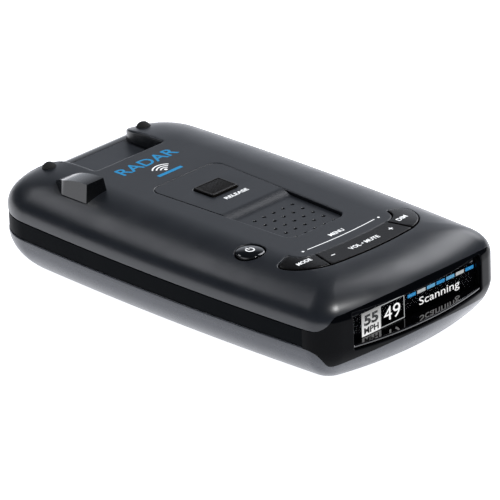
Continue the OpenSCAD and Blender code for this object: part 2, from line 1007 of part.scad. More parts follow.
module microwave_board() {
    color("#2f5b3e")
    difference() {
        block([-13, 13], [26.2, 50], [15 + fit_gap, 16]);
        for (p = horn_lid_pos)
            post(p, 0.95, 10, 20);
    }
}

// Tinned can over the microwave parts.
module shield_can() {
    color("#c9cbcd")
    difference() {
        block([-9.8, 9.8], [36.5, 49], [16 + fit_gap, 19.4]);
        block([-9.5, 9.5], [36.8, 48.7], [15, 19.1]);
    }
}

// ---------- sockets ----------

module power_jack() {
    color("#17181a")
    difference() {
        block([20.5, socket_face_x], span(power_jack_y, 6.1), power_jack_z);
        block([22.2, far], span(power_jack_y, power_cavity[0] / 2),
              span((power_jack_z[0] + power_jack_z[1]) / 2, power_cavity[1] / 2));
    }
}

module earphone_jack() {
    color("#1a1b1d")
    difference() {
        union() {
            block([20.5, socket_face_x], span(earphone_y, 3.6), [board_top + fit_gap, 17.3]);
            translate([socket_face_x - 0.5, earphone_y, earphone_z])
                rotate([0, 90, 0])
                    cylinder(r = earphone_barrel_r, h = 2.9);
        }
        translate([socket_face_x + 2.4 - earphone_depth, earphone_y, earphone_z])
            rotate([0, 90, 0])
                cylinder(r = earphone_r, h = 20);
    }
}

module usb_socket() {
    color("#b5b8bb")
    difference() {
        block([25.5, socket_face_x + 1.8], span(usb_y, 3.85), span(usb_z, 2));
        block([26.3, far], span(usb_y, 3.45), span(usb_z, 1.6));
    }
}

// ---------- fasteners and plate ----------

// A screw with its head down: shank above, head below.
module screw_up(p, r, head_r, z_head, head_h, z_end) {
    post(p, head_r, z_head, z_head + head_h);
    post(p, r, z_head + head_h - eps, z_end);
}

// A screw with its head up.
module screw_down(p, r, head_r, z_seat, head_h, z_end) {
    post(p, head_r, z_seat, z_seat + head_h);
    post(p, r, z_end, z_seat + eps);
}

module case_screws() {
    color("#5d5f63")
    for (p = case_screw_pos)
        screw_up(p, 1.2, 2.3, 1.8, 1.65, 17);
}

module board_screws() {
    color("#85888c")
    for (p = board_posts)
        screw_down(p, 1, 2, board_top + fit_gap, 1.3, 5);
}

module key_board_screws() {
    color("#85888c")
    for (p = key_posts)
        screw_up(p, 0.8, 1.6, key_board_under - fit_gap - 1.2, 1.2, 24);
}

module horn_screws() {
    color("#85888c") {
        for (p = horn_ear_pos)
            screw_down(p, 0.8, 1.5, board_top + 1.5 + fit_gap, 1.1, board_under);
        for (p = horn_lid_pos)
            screw_down(p, 0.8, 1.4, 16 + fit_gap, 1, 9);
    }
}

// Blank rating plate, sunk into the underside.
module label_plate() {
    color("#b9bbbd")
        block([-16, 16], [-30, 10], [0.1, 0.38]);
}

bottom_housing();
top_housing();
left_side_band();
right_side_band();
windshield_panel();
front_bezel();
display_shroud();
display_window();
display_panel();
display_carrier();
display_flex();
top_insert();
speaker_cloth();
speaker_frame();
speaker_cone();
speaker_magnet();
rear_laser_lens();
rear_laser_sensor();
windshield_laser_sensor();
windshield_bumpers();
mount_guide();
release_frame();
release_button();
release_latch();
latch_pin();
release_spring();
power_button();
sensitivity_key();
brightness_key();
volume_bar();
mute_plunger();
key_board();
key_switches();
main_circuit_board();
processor_chip();
memory_chips();
wireless_module();
storage_capacitor();
power_inductor();
board_link();
radar_horn();
microwave_board();
shield_can();
power_jack();
earphone_jack();
usb_socket();
case_screws();
board_screws();
key_board_screws();
horn_screws();
label_plate();
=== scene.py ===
"""Looks of the windshield radar detector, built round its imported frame.

Every piece is shaped in millimetres on the bench and turned to metres when it is finished.
"""

import logging
import math
from collections.abc import Callable, Sequence
from dataclasses import dataclass, field
from enum import Enum

import bpy
from bpy.types import Material, Node, NodeSocket, NodeTree, Object
from mathutils import Matrix, Vector
from mathutils.bvhtree import BVHTree


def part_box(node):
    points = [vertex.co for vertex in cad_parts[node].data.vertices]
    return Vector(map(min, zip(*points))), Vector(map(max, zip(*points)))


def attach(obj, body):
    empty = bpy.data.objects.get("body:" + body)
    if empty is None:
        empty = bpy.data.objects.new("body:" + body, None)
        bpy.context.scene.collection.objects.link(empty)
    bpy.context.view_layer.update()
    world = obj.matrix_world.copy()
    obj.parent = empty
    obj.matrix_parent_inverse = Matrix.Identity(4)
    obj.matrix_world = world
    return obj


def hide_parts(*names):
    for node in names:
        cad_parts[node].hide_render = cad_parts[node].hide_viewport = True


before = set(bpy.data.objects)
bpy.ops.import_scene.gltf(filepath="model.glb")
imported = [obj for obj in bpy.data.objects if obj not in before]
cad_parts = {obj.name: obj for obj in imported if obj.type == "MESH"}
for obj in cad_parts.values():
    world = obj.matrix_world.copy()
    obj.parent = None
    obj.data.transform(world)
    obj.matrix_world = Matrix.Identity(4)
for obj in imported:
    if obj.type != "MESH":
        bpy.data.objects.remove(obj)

LOG = logging.getLogger("radar_detector")
MM = 0.001
SMOOTH_ANGLE = math.radians(34)
DOUBLE_GAP = 0.0004
SKY = 60.0
SEAM = 0.05
FAR = 80.0
KEY_PROUD = 0.15
POWER_FLANGE = 0.5
EARPHONE_Z = 15.0

Pair = tuple[float, float]
Ring = list[tuple[float, float, float]]
Outline = Callable[[float], list[Pair]]
Surface = Callable[[float, float], float]
Edge = Callable[[float], float]


class Join(Enum):
    """How a tool changes a piece."""

    ADD = "UNION"
    CUT = "DIFFERENCE"
    KEEP = "INTERSECT"


class Body(Enum):
    """The moving bodies of the detector."""

    CASE = "case"
    RELEASE = "release"
    LATCH = "latch"
    POWER = "power"
    SENSITIVITY = "sensitivity"
    BRIGHTNESS = "brightness"
    MUTE = "mute"
    VOLUME = "volume"


class Side(Enum):
    """Left or right side of the case, as the driver sees it."""

    LEFT = -1
    RIGHT = 1


# ---------- outlines ----------


def direction(angle: float) -> Pair:
    """Returns the unit vector at an angle in degrees."""
    return math.cos(math.radians(angle)), math.sin(math.radians(angle))


def arc(centre: Pair, radius: float, start: float, end: float, steps: int) -> list[Pair]:
    """Points of an arc.

    Args:
        centre: centre of the arc.
        radius: its radius.
        start: first angle in degrees.
        end: last angle in degrees.
        steps: number of chords.

    Returns:
        steps + 1 points.
    """
    points = []
    for i in range(steps + 1):
        dx, dy = direction(start + (end - start) * i / steps)
        points.append((centre[0] + radius * dx, centre[1] + radius * dy))
    return points


def mirrored(points: Sequence[Pair]) -> list[Pair]:
    """Returns the points mirrored across X = 0, in reverse order."""
    return [(-x, y) for x, y in reversed(points)]


def smooth_step(t: float) -> float:
    """Returns an S curve from 0 to 1."""
    t = min(1.0, max(0.0, t))
    return t * t * (3 - 2 * t)


def finely(outline: Outline, step: float) -> Outline:
    """Divides the long edges of an outline, so that it can follow a curved surface.

    Args:
        outline: the outline as a function of how far it is grown.
        step: longest edge that is left undivided.

    Returns:
        An outline with the same number of points however far it is grown.
    """
    base = outline(0.0)
    counts = []
    for a, b in zip(base, base[1:] + base[:1]):
        counts.append(max(1, math.ceil(math.dist(a, b) / step)))

    def divided(grow: float) -> list[Pair]:
        """Returns the divided outline, grown by grow."""
        points = outline(grow)
        found = []
        for a, b, n in zip(points, points[1:] + points[:1], counts):
            found += [(a[0] + (b[0] - a[0]) * i / n, a[1] + (b[1] - a[1]) * i / n) for i in range(n)]
        return found

    return divided


def rounded_box(half: Pair, centre: Pair, radius: float, steps: int = 6) -> Outline:
    """Outline of a rectangle with round corners.

    Args:
        half: half of its width and height.
        centre: its centre.
        radius: radius of its corners.
        steps: chords in each corner.

    Returns:
        The outline as a function of how far it is grown.
    """

    def outline(grow: float) -> list[Pair]:
        """Returns the rectangle, grown by grow."""
        x, y = half[0] - radius, half[1] - radius
        r = radius + grow
        points = arc((centre[0] + x, centre[1] + y), r, 0, 90, steps)
        points += arc((centre[0] - x, centre[1] + y), r, 90, 180, steps)
        points += arc((centre[0] - x, centre[1] - y), r, 180, 270, steps)
        points += arc((centre[0] + x, centre[1] - y), r, 270, 360, steps)
        return points

    return outline


def circle(centre: Pair, radius: float, steps: int = 48) -> Outline:
    """Returns a circle's outline as a function of how far it is grown."""
    return lambda grow: arc(centre, radius + grow, 0, 360, steps)[:-1]


def level(outline: Sequence[Pair], z: float) -> Ring:
    """Returns an outline as a ring at height z."""
    return [(x, y, z) for x, y in outline]


# ---------- bench ----------


class Bench:
    """The few operations that every piece is shaped with, in millimetres."""

    @staticmethod
    def clear() -> None:
        """Deselects everything."""
        bpy.ops.object.select_all(action="DESELECT")

    @staticmethod
    def pick(piece: Object) -> None:
        """Selects one piece alone and makes it the active one."""
        Bench.clear()
        piece.select_set(True)
        bpy.context.view_layer.objects.active = piece

    @staticmethod
    def loft(name: str, rings: Sequence[Ring], closed: bool = False) -> Object:
        """Skins rings of equal length into one closed form.

        The doubly curved shells have no primitive to start from. The straight prisms and the turned
        parts are skinned here too, so that one routine closes every form and turns it outwards.

        Args:
            name: name of the piece.
            rings: the rings in order.
            closed: whether the last ring joins the first, which makes a tube instead of a capped form.

        Returns:
            The new piece.
        """
        n, m = len(rings[0]), len(rings)
        faces = []
        for k in range(m if closed else m - 1):
            a, b = k * n, (k + 1) % m * n
            faces += [(a + i, a + (i + 1) % n, b + (i + 1) % n, b + i) for i in range(n)]
        if not closed:
            faces += [tuple(range(n - 1, -1, -1)), tuple(range((m - 1) * n, m * n))]
        mesh = bpy.data.meshes.new(name)
        mesh.from_pydata([point for ring in rings for point in ring], [], faces)
        piece = bpy.data.objects.new(name, mesh)
        bpy.context.scene.collection.objects.link(piece)
        Bench.face_outwards(piece)
        return piece

    @staticmethod
    def prism(name: str, outline: Sequence[Pair], low: float, high: float) -> Object:
        """Returns a straight prism over an outline, from low to high."""
        return Bench.loft(name, [level(outline, low), level(outline, high)])

    @staticmethod
    def beam(name: str, along: str, section: Sequence[Pair], ends: Pair) -> Object:
        """A straight beam along X or Y.

        Args:
            name: name of the piece.
            along: "X" for a section drawn in Y and Z, "Y" for one drawn in X and Z.
            section: the section's outline.
            ends: the beam's two ends.

        Returns:
            The beam.
        """
        rings = [[(end, a, b) if along == "X" else (a, end, b) for a, b in section] for end in ends]
        return Bench.loft(name, rings)

    @staticmethod
    def block(name: str, x: Pair, y: Pair, z: Pair) -> Object:
        """Returns a box between three pairs of limits."""
        Bench.clear()
        middle = [(pair[0] + pair[1]) / 2 for pair in (x, y, z)]
        bpy.ops.mesh.primitive_cube_add(size=1, location=middle)
        piece = bpy.context.active_object
        piece.name = name
        piece.scale = [pair[1] - pair[0] for pair in (x, y, z)]
        bpy.ops.object.transform_apply(location=True, rotation=True, scale=True)
        return piece

    @staticmethod
    def turned(name: str, profile: Sequence[Pair], centre: Pair, steps: int = 64) -> Object:
        """Turns a profile of radius and height about an upright axis.

        Args:
            name: name of the piece.
            profile: pairs of radius and height, from the bottom up.
            centre: place of the axis in plan.
            steps: facets round the axis.

        Returns:
            The new piece.
        """
        return Bench.loft(name, [level(arc(centre, r, 0, 360, steps)[:-1], z) for r, z in profile])

    @staticmethod
    def face_outwards(piece: Object) -> None:
        """Merges doubles and turns every face outwards."""
        Bench.pick(piece)
        bpy.ops.object.mode_set(mode="EDIT")
        bpy.ops.mesh.select_all(action="SELECT")
        bpy.ops.mesh.remove_doubles(threshold=DOUBLE_GAP)
        bpy.ops.mesh.normals_make_consistent(inside=False)
        bpy.ops.object.mode_set(mode="OBJECT")

    @staticmethod
    def apply(piece: Object, kind: str, **settings: object) -> None:
        """Adds one modifier with its settings and applies it."""
        modifier = piece.modifiers.new(kind.lower(), kind)
        for name, value in settings.items():
            setattr(modifier, name, value)
        Bench.pick(piece)
        bpy.ops.object.modifier_apply(modifier=modifier.name)

    @staticmethod
    def combine(piece: Object, how: Join, *tools: Object) -> Object:
        """Adds, cuts or intersects a piece with each tool, and puts the tools away."""
        for tool in tools:
            Bench.apply(piece, "BOOLEAN", operation=how.value, object=tool, solver="EXACT")
            bpy.data.objects.remove(tool, do_unlink=True)
        return piece

    @staticmethod
    def soften(piece: Object, width: float, segments: int = 3, angle: float = 30.0) -> Object:
        """Rounds every edge that is sharper than an angle in degrees."""
        Bench.apply(
            piece, "BEVEL", width=width, segments=segments, limit_method="ANGLE",
            angle_limit=math.radians(angle), miter_outer="MITER_ARC", harden_normals=False,
        )
        return piece

    @staticmethod
    def join(pieces: Sequence[Object]) -> Object:
        """Joins pieces that don't touch into one object."""
        Bench.pick(pieces[0])
        for piece in pieces[1:]:
            piece.select_set(True)
        if len(pieces) > 1:
            bpy.ops.object.join()
        return bpy.context.active_object

    @staticmethod
    def lettering(words: str, fit: Pair, weight: float = 0.0, thick: float = 0.02) -> Object:
        """Flat letters, drawn about the origin in the XY plane.

        Args:
            words: what they say.
            fit: width and height that they fill.
            weight: how far their strokes are thickened, as a share of their size.
            thick: thickness of the ink.

        Returns:
            The letters as a mesh.
        """
        Bench.clear()
        bpy.ops.object.text_add(location=(0, 0, 0))
        letters = bpy.context.active_object
        letters.data.body = words
        letters.data.size = 4.0
        letters.data.extrude = thick / 2
        letters.data.offset = weight
        letters.data.resolution_u = 4
        bpy.ops.object.convert(target="MESH")
        letters = bpy.context.active_object
        corners = [v.co.copy() for v in letters.data.vertices]
        low = [min(c[i] for c in corners) for i in range(2)]
        high = [max(c[i] for c in corners) for i in range(2)]
        grow = [fit[i] / (high[i] - low[i]) for i in range(2)]
        for vertex in letters.data.vertices:
            for i in range(2):
                vertex.co[i] = (vertex.co[i] - (low[i] + high[i]) / 2) * grow[i]
        Bench.face_outwards(letters)
        return letters

    @staticmethod
    def finish(
        piece: Object, name: str, body: Body, slot: str, finish: "Finish",
        stands_for: Sequence[str] = (), crisp: bool = True,
    ) -> Object:
        """Brings a piece to metres, smooths and paints it, and hangs it on its body.

        Args:
            piece: the piece in millimetres.
            name: its name.
            body: the body that it moves with.
            slot: a material slot's name; not used.
            finish: its finish.
            stands_for: the CAD nodes that it replaces.
            crisp: whether large faces stay flat beside small rounded edges.

        Returns:
            The finished piece.
        """
        Bench.face_outwards(piece)
        piece.data.transform(Matrix.Scale(MM, 4))
        piece.name = name
        piece.data.name = name
        Bench.pick(piece)
        bpy.ops.object.shade_smooth_by_angle(angle=SMOOTH_ANGLE)
        if crisp:
            Bench.apply(piece, "WEIGHTED_NORMAL", mode="FACE_AREA", weight=50, keep_sharp=True)
        piece.data.materials.clear()
        piece.data.materials.append(finish.material())
        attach(piece, body.value)
        if stands_for:
            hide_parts(*stands_for)
        LOG.info("%s: %d faces, on %s", name, len(piece.data.polygons), body.value)
        return piece


def node_box(node: str) -> tuple[Vector, Vector]:
    """Returns a CAD node's lowest and highest corners in millimetres."""
    low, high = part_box(node)
    return low / MM, high / MM


def plan_middle(node: str) -> Pair:
    """Returns the middle of a CAD node in plan."""
    low, high = node_box(node)
    return (low.x + high.x) / 2, (low.y + high.y) / 2


def power_radius() -> float:
    """Returns the radius of the power key inside its flange."""
    low, high = node_box("power_button")
    return (high.x - low.x) / 2 - POWER_FLANGE


def quarter_turn(axis: str) -> Matrix:
    """Returns a turn of 90 degrees about an axis."""
    return Matrix.Rotation(math.radians(90), 4, axis)


class Drape:
    """Finds the height of a form's surface under a point, seen from above or from the display end."""

    def __init__(self, form: Object, miss: float) -> None:
        """Reads the form.

        Args:
            form: the form in millimetres.
            miss: the answer where nothing lies under a point.
        """
        mesh = form.data
        points = [v.co.copy() for v in mesh.vertices]
        self.tree = BVHTree.FromPolygons(points, [tuple(p.vertices) for p in mesh.polygons])
        self.miss = miss

    def height(self, x: float, y: float) -> float:
        """Returns the height of the surface at a place in plan."""
        hit = self.tree.ray_cast(Vector((x, y, SKY)), Vector((0, 0, -1)))[0]
        return self.miss if hit is None else hit.z

    def depth(self, x: float, z: float) -> float:
        """Returns how far the surface stands out towards the display end."""
        hit = self.tree.ray_cast(Vector((x, -2 * SKY, z)), Vector((0, 1, 0)))[0]
        return self.miss if hit is None else -hit.y


def shouldered(
    outline: Outline, surface: Surface, low: float, high: float, radius: float, outward: int,
) -> list[Ring]:
    """Rings of a tool whose wall turns over a round shoulder just where it meets a surface.

    Args:
        outline: plan of the tool.
        surface: height of the surface that it crosses.
        low: height of its lower end.
        high: height of its upper end.
        radius: radius of the shoulder.
        outward: 1 for the mouth of an opening, -1 for the top of a key.

    Returns:
        The rings from the lower end up.
    """
    rings = [level(outline(0.0), low)]
    bends = [(1 - direction(a)[0], direction(a)[1] - 1) for a in (0, 20, 40, 60)]
    bends.append((bends[-1][0] + 1.5, bends[-1][1] + 0.34))
    for out, rise in bends:
        points = outline(outward * radius * out)
        rings.append([(x, y, surface(x, y) + radius * rise) for x, y in points])
    rings.append(level(outline(outward * radius * bends[-1][0]), high))
    return rings


# ---------- finishes ----------


def linear(colour: str, share: float = 1.0) -> tuple[float, float, float, float]:
    """Turns an sRGB hex colour to linear light and scales it by a share."""
    values = [int(colour[i:i + 2], 16) / 255 for i in (1, 3, 5)]
    turned = [v / 12.92 if v <= 0.04045 else ((v + 0.055) / 1.055) ** 2.4 for v in values]
    return turned[0] * share, turned[1] * share, turned[2] * share, 1.0


def add_node(tree: NodeTree, kind: str, inputs: dict | None = None, **settings: object) -> Node:
    """Adds one node with its settings and links.

    Args:
        tree: the material's node tree.
        kind: the node's type.
        inputs: value, or output to link, for each input by name or number.
        settings: the node's own settings.

    Returns:
        The new node.
    """
    node = tree.nodes.new(kind)
    for name, value in settings.items():
        setattr(node, name, value)
    for key, value in (inputs or {}).items():
        socket = node.inputs[key]
        if isinstance(value, NodeSocket):
            tree.links.new(value, socket)
        else:
            socket.default_value = value
    return node


@dataclass(frozen=True)
class Finish:
    """What every finish shares: a name and a colour."""

    name: str
    colour: str

    def material(self) -> Material:
        """Returns the material, built once and shared."""
        found = bpy.data.materials.get(self.name)
        if found:
            return found
        material = bpy.data.materials.new(self.name)
        material.use_nodes = True
        tree = material.node_tree
        tree.nodes.clear()
        place = add_node(tree, "ShaderNodeTexCoord").outputs["Object"]
        shader = self.build(tree, place)
        add_node(tree, "ShaderNodeOutputMaterial", {"Surface": shader.outputs[0]})
        return material

    def build(self, tree: NodeTree, place: NodeSocket) -> Node:
        """Adds the finish's own nodes, laid out by Object coordinates, and returns the shader."""
        raise NotImplementedError


@dataclass(frozen=True)
class Moulded(Finish):
    """Injection-moulded plastic. Its spark-eroded mould leaves a fine even grain, so light spreads softly."""

    roughness: float = 0.42
    grain_mm: float = 0.28
    grain: float = 0.12
    mottle: float = 0.1
    mottle_mm: float = 9.0
    ior: float = 1.5
    specular: float = 0.5

    def build(self, tree: NodeTree, place: NodeSocket) -> Node:
        """Builds the plastic: grain as bump, and a slow mottle in colour and roughness."""
        grain = add_node(tree, "ShaderNodeTexNoise", {
            "Vector": place, "Scale": 1 / (self.grain_mm * MM), "Detail": 2.0, "Roughness": 0.55})
        mottle = add_node(tree, "ShaderNodeTexNoise", {
            "Vector": place, "Scale": 1 / (self.mottle_mm * MM), "Detail": 3.0})
        rough = add_node(tree, "ShaderNodeMapRange", {
            "Value": mottle.outputs[0], "From Min": 0.3, "From Max": 0.7,
            "To Min": self.roughness * (1 - self.mottle), "To Max": self.roughness * (1 + self.mottle)})
        tint = add_node(tree, "ShaderNodeMix", {
            0: mottle.outputs[0], 6: linear(self.colour, 0.9), 7: linear(self.colour, 1.1)},
            data_type="RGBA")
        bump = add_node(tree, "ShaderNodeBump", {
            "Height": grain.outputs[0], "Strength": self.grain, "Distance": 0.05 * MM})
        return add_node(tree, "ShaderNodeBsdfPrincipled", {
            "Base Color": tint.outputs[2], "Roughness": rough.outputs[0], "IOR": self.ior,
            "Specular IOR Level": self.specular, "Normal": bump.outputs[0]})


@dataclass(frozen=True)
class Metal(Finish):
    """Bare or plated metal. Rolling and plating leave fine streaks that stretch its highlights."""

    roughness: float = 0.3
    streak_mm: float = 0.2
    streak: float = 0.15
    along: Pair = (1.0, 0.08)

    def build(self, tree: NodeTree, place: NodeSocket) -> Node:
        """Builds the metal: streaks along one axis, in roughness and in bump."""
        stretch = add_node(tree, "ShaderNodeMapping", {
            "Vector": place, "Scale": (self.along[0], self.along[1], 1.0)})
        streak = add_node(tree, "ShaderNodeTexNoise", {
            "Vector": stretch.outputs[0], "Scale": 1 / (self.streak_mm * MM), "Detail": 3.0})
        rough = add_node(tree, "ShaderNodeMapRange", {
            "Value": streak.outputs[0], "From Min": 0.25, "From Max": 0.75,
            "To Min": self.roughness * 0.75, "To Max": self.roughness * 1.25})
        tint = add_node(tree, "ShaderNodeMix", {
            0: streak.outputs[0], 6: linear(self.colour, 0.86), 7: linear(self.colour)}, data_type="RGBA")
        bump = add_node(tree, "ShaderNodeBump", {
            "Height": streak.outputs[0], "Strength": self.streak, "Distance": 0.03 * MM})
        return add_node(tree, "ShaderNodeBsdfPrincipled", {
            "Base Color": tint.outputs[2], "Metallic": 1.0, "Roughness": rough.outputs[0],
            "Normal": bump.outputs[0]})


@dataclass(frozen=True)
class Ink(Finish):
    """Pad-printed ink: a thin matt film whose cover varies a little. Its glow is emission: on the printed
    marks it is painted light, and on the floor it keeps the floor evenly bright.
    """

    roughness: float = 0.5
    glow: float = 0.0

    def build(self, tree: NodeTree, place: NodeSocket) -> Node:
        """Builds the ink, with a faint speckle where the pad lifted."""
        speckle = add_node(tree, "ShaderNodeTexNoise", {
            "Vector": place, "Scale": 1 / (0.5 * MM), "Detail": 2.0})
        tint = add_node(tree, "ShaderNodeMix", {
            0: speckle.outputs[0], 6: linear(self.colour, 0.88), 7: linear(self.colour)}, data_type="RGBA")
        # Emission by glow: painted light on the printed marks; the floor uses it only to stay evenly bright.
        return add_node(tree, "ShaderNodeBsdfPrincipled", {
            "Base Color": tint.outputs[2], "Roughness": self.roughness,
            "Emission Color": tint.outputs[2], "Emission Strength": self.glow})


@dataclass(frozen=True)
class Lit(Finish):
    """Lit dots of the display. They give their own light and show a faint grid."""

    strength: float = 1.0
    low_z_mm: float = 12.4
    high_z_mm: float = 19.0
    fade: float = 1.0

    def build(self, tree: NodeTree, place: NodeSocket) -> Node:
        """Builds the lit dots, which fade towards the top by a share."""
        axes = add_node(tree, "ShaderNodeSeparateXYZ", {"Vector": place})
        fade = add_node(tree, "ShaderNodeMapRange", {
            "Value": axes.outputs[2], "From Min": self.low_z_mm * MM, "From Max": self.high_z_mm * MM,
            "To Min": 1.0, "To Max": self.fade})
        # The dots of a display this size are a fraction of a millimetre apart.
        grid = add_node(tree, "ShaderNodeTexWave", {
            "Vector": place, "Scale": 0.5 / (0.4 * MM), "Distortion": 0.0}, bands_direction="X")
        dim = add_node(tree, "ShaderNodeMapRange", {"Value": grid.outputs[0], "To Min": 0.92, "To Max": 1.0})
        level_of = add_node(tree, "ShaderNodeMath", {
            0: fade.outputs[0], 1: dim.outputs[0]}, operation="MULTIPLY")
        tint = add_node(tree, "ShaderNodeMix", {
            0: level_of.outputs[0], 6: (0, 0, 0, 1), 7: linear(self.colour)}, data_type="RGBA")
        return add_node(tree, "ShaderNodeBsdfPrincipled", {
            "Base Color": (0.01, 0.01, 0.01, 1), "Roughness": 0.6, "Specular IOR Level": 0.1,
            "Emission Color": tint.outputs[2], "Emission Strength": self.strength})


@dataclass(frozen=True)
class Clear(Finish):
    """Clear hard-coated acrylic. It lets the display through and keeps only a weak reflection."""

    roughness: float = 0.02

    def build(self, tree: NodeTree, place: NodeSocket) -> Node:
        """Builds the clear sheet, with smears too faint to see except in a reflection."""
        smear = add_node(tree, "ShaderNodeTexNoise", {"Vector": place, "Scale": 1 / (6 * MM), "Detail": 2.0})
        rough = add_node(tree, "ShaderNodeMapRange", {
            "Value": smear.outputs[0], "To Min": self.roughness, "To Max": self.roughness * 3})
        return add_node(tree, "ShaderNodeBsdfPrincipled", {
            "Base Color": linear(self.colour), "Roughness": rough.outputs[0], "Alpha": 0.03,
            "Specular IOR Level": 0.5})


@dataclass(frozen=True)
class SolderMask(Finish):
    """Green solder mask over copper. The tracks under it show as paler lines on a square plan."""

    track: str = "#3f7a4a"
    pitch_mm: float = 1.6

    def build(self, tree: NodeTree, place: NodeSocket) -> Node:
        """Builds the board: square cells whose edges are the tracks."""
        cells = add_node(tree, "ShaderNodeTexBrick", {
            "Vector": place, "Scale": 1 / (self.pitch_mm * MM), "Color1": linear(self.colour),
            "Color2": linear("#17402a"), "Mortar": linear(self.track), "Mortar Size": 0.035,
            "Brick Width": 2.4, "Row Height": 0.8}, offset=0.4)
        noise = add_node(tree, "ShaderNodeTexNoise", {"Vector": place, "Scale": 1 / (3 * MM), "Detail": 4.0})
        bump = add_node(tree, "ShaderNodeBump", {
            "Height": cells.outputs[1], "Strength": 0.3, "Distance": 0.04 * MM})
        rough = add_node(tree, "ShaderNodeMapRange", {
            "Value": noise.outputs[0], "To Min": 0.25, "To Max": 0.45})
        return add_node(tree, "ShaderNodeBsdfPrincipled", {
            "Base Color": cells.outputs[0], "Roughness": rough.outputs[0], "Normal": bump.outputs[0]})


@dataclass(frozen=True)
class Woven(Finish):
    """Woven polyester cloth. Two sets of threads cross under and over, which gives a fine check."""

    thread_mm: float = 0.35

    def build(self, tree: NodeTree, place: NodeSocket) -> Node:
        """Builds the weave from two crossed waves, in colour and in bump."""
        waves = [add_node(tree, "ShaderNodeTexWave", {
            "Vector": place, "Scale": 0.5 / (self.thread_mm * MM)}, bands_direction=axis) for axis in "XY"]
        weave = add_node(tree, "ShaderNodeMath", {0: waves[0].outputs[1], 1: waves[1].outputs[1]},
                         operation="MULTIPLY")
        tint = add_node(tree, "ShaderNodeMix", {
            0: weave.outputs[0], 6: linear(self.colour, 0.4), 7: linear(self.colour)}, data_type="RGBA")
        bump = add_node(tree, "ShaderNodeBump", {
            "Height": weave.outputs[0], "Strength": 0.6, "Distance": 0.08 * MM})
        return add_node(tree, "ShaderNodeBsdfPrincipled", {
            "Base Color": tint.outputs[2], "Roughness": 0.85, "Sheen Weight": 0.3, "Normal": bump.outputs[0]})


# The top shell's charcoal ABS: fine spark-eroded grain, so its shoulders carry long soft highlights.
CHARCOAL = Moulded("charcoal_abs", "#1f2227", roughness=0.33, grain=0.2)
# The bottom shell is the same ABS from a slightly smoother mould.
SLATE = Moulded("slate_abs", "#2c3038", roughness=0.27, grain=0.02, specular=0.55)
# The side bands are matt black, and the eye sees them as a dark stripe.
BAND_BLACK = Moulded("band_black_abs", "#070a0d", roughness=0.45, grain=0.1, specular=0.02)
# Piano-black polycarbonate from a polished mould: nearly black, with sharp weak reflections.
PIANO = Moulded("piano_black_polycarbonate", "#050608", roughness=0.06, grain=0.0, mottle=0.2, specular=0.05)
# The tunnel round the display is polished, so its floor mirrors the lit figures.
MIRROR = Moulded("polished_black_acrylic", "#040405", roughness=0.02, grain=0.0, mottle=0.2, specular=0.9)
SMOKE = Moulded("smoked_infrared_polycarbonate", "#0c0e11", roughness=0.12, grain=0.02, specular=0.2)
LENS_SMOKE = Moulded("infrared_lens_acrylic", "#08090b", roughness=0.14, grain=0.0, specular=0.6)
KEY_BLACK = Moulded("key_silicone_lacquered", "#0e0c0b", roughness=0.26, grain=0.05, specular=0.22)
POWER_BLACK = Moulded("power_key_acrylic", "#0a0b0d", roughness=0.09, grain=0.0, specular=0.6)
RELEASE_BLACK = Moulded("release_key_acetal", "#15120f", roughness=0.34, grain=0.12, specular=0.35)
INNER = Moulded("inner_frame_abs", "#24262a", roughness=0.5)
SLOT_GREY = Moulded("slot_floor_acetal", "#2f3237", roughness=0.4, grain=0.1)
RUBBER = Moulded("bumper_rubber", "#0b0b0c", roughness=0.14, grain=0.05, specular=0.7)
SOCKET_BLACK = Moulded("socket_nylon", "#121315", roughness=0.45)
FLEX = Moulded("polyimide_flex_film", "#a05a18", roughness=0.3, grain=0.05)
EPOXY = Moulded("chip_epoxy", "#141416", roughness=0.55, grain=0.25)
SLEEVE = Moulded("capacitor_sleeve_pvc", "#1d2a55", roughness=0.25)
PAPER = Moulded("speaker_cone_paper", "#1d1d1f", roughness=0.8, grain=0.5, grain_mm=0.4)
FERRITE = Moulded("sintered_ferrite", "#2f3033", roughness=0.6, grain=0.3)
FOIL = Moulded("blank_foil_label", "#b4b6b9", roughness=0.35, grain=0.05, mottle=0.05)
STEEL = Metal("zinc_plated_steel", "#8d9094", roughness=0.32)
SCREW_STEEL = Metal("black_oxide_screw_steel", "#45474b", roughness=0.38)
SPRING_STEEL = Metal("drawn_spring_wire", "#b4b6ba", roughness=0.25)
TIN = Metal("tinned_steel_can", "#c9cacc", roughness=0.28, along=(0.1, 1.0))
CAST = Metal("cast_aluminium", "#a6a8ab", roughness=0.5, streak_mm=0.5, along=(1.0, 1.0))
GOLD = Metal("gold_plated_contact", "#d8b25a", roughness=0.22)
BOARD = SolderMask("solder_mask_board", "#1d4a30")
CLOTH = Woven("speaker_cloth_polyester", "#1b1b1d")
GLASS = Clear("hard_coated_acrylic", "#101214")
DARK_GLASS = Moulded("display_black_glass", "#020203", roughness=0.3, grain=0.0, specular=0.0)
# The white and blue print glow a little: painted light, so that the small print reads brighter than the lamps
# alone make it.
WHITE_INK_PAINTED_GLOW = Ink("white_pad_print", "#f2f4f5", glow=0.55)
BLUE_INK_PAINTED_GLOW = Ink("blue_pad_print", "#007fb4", glow=0.45)
LIT_WHITE = Lit("lit_white", "#ffffff")
LIT_PANEL = Lit("lit_panel", "#ffffff", fade=0.28)
LIT_BLUE = Lit("lit_blue", "#1f86c2")
LIT_SKY = Lit("lit_sky_blue", "#5b9fc8")
LIT_GREY = Lit("lit_grey", "#b9bcbd")
LIT_OFF = Ink("unlit_dots", "#08080a")


# ---------- case ----------


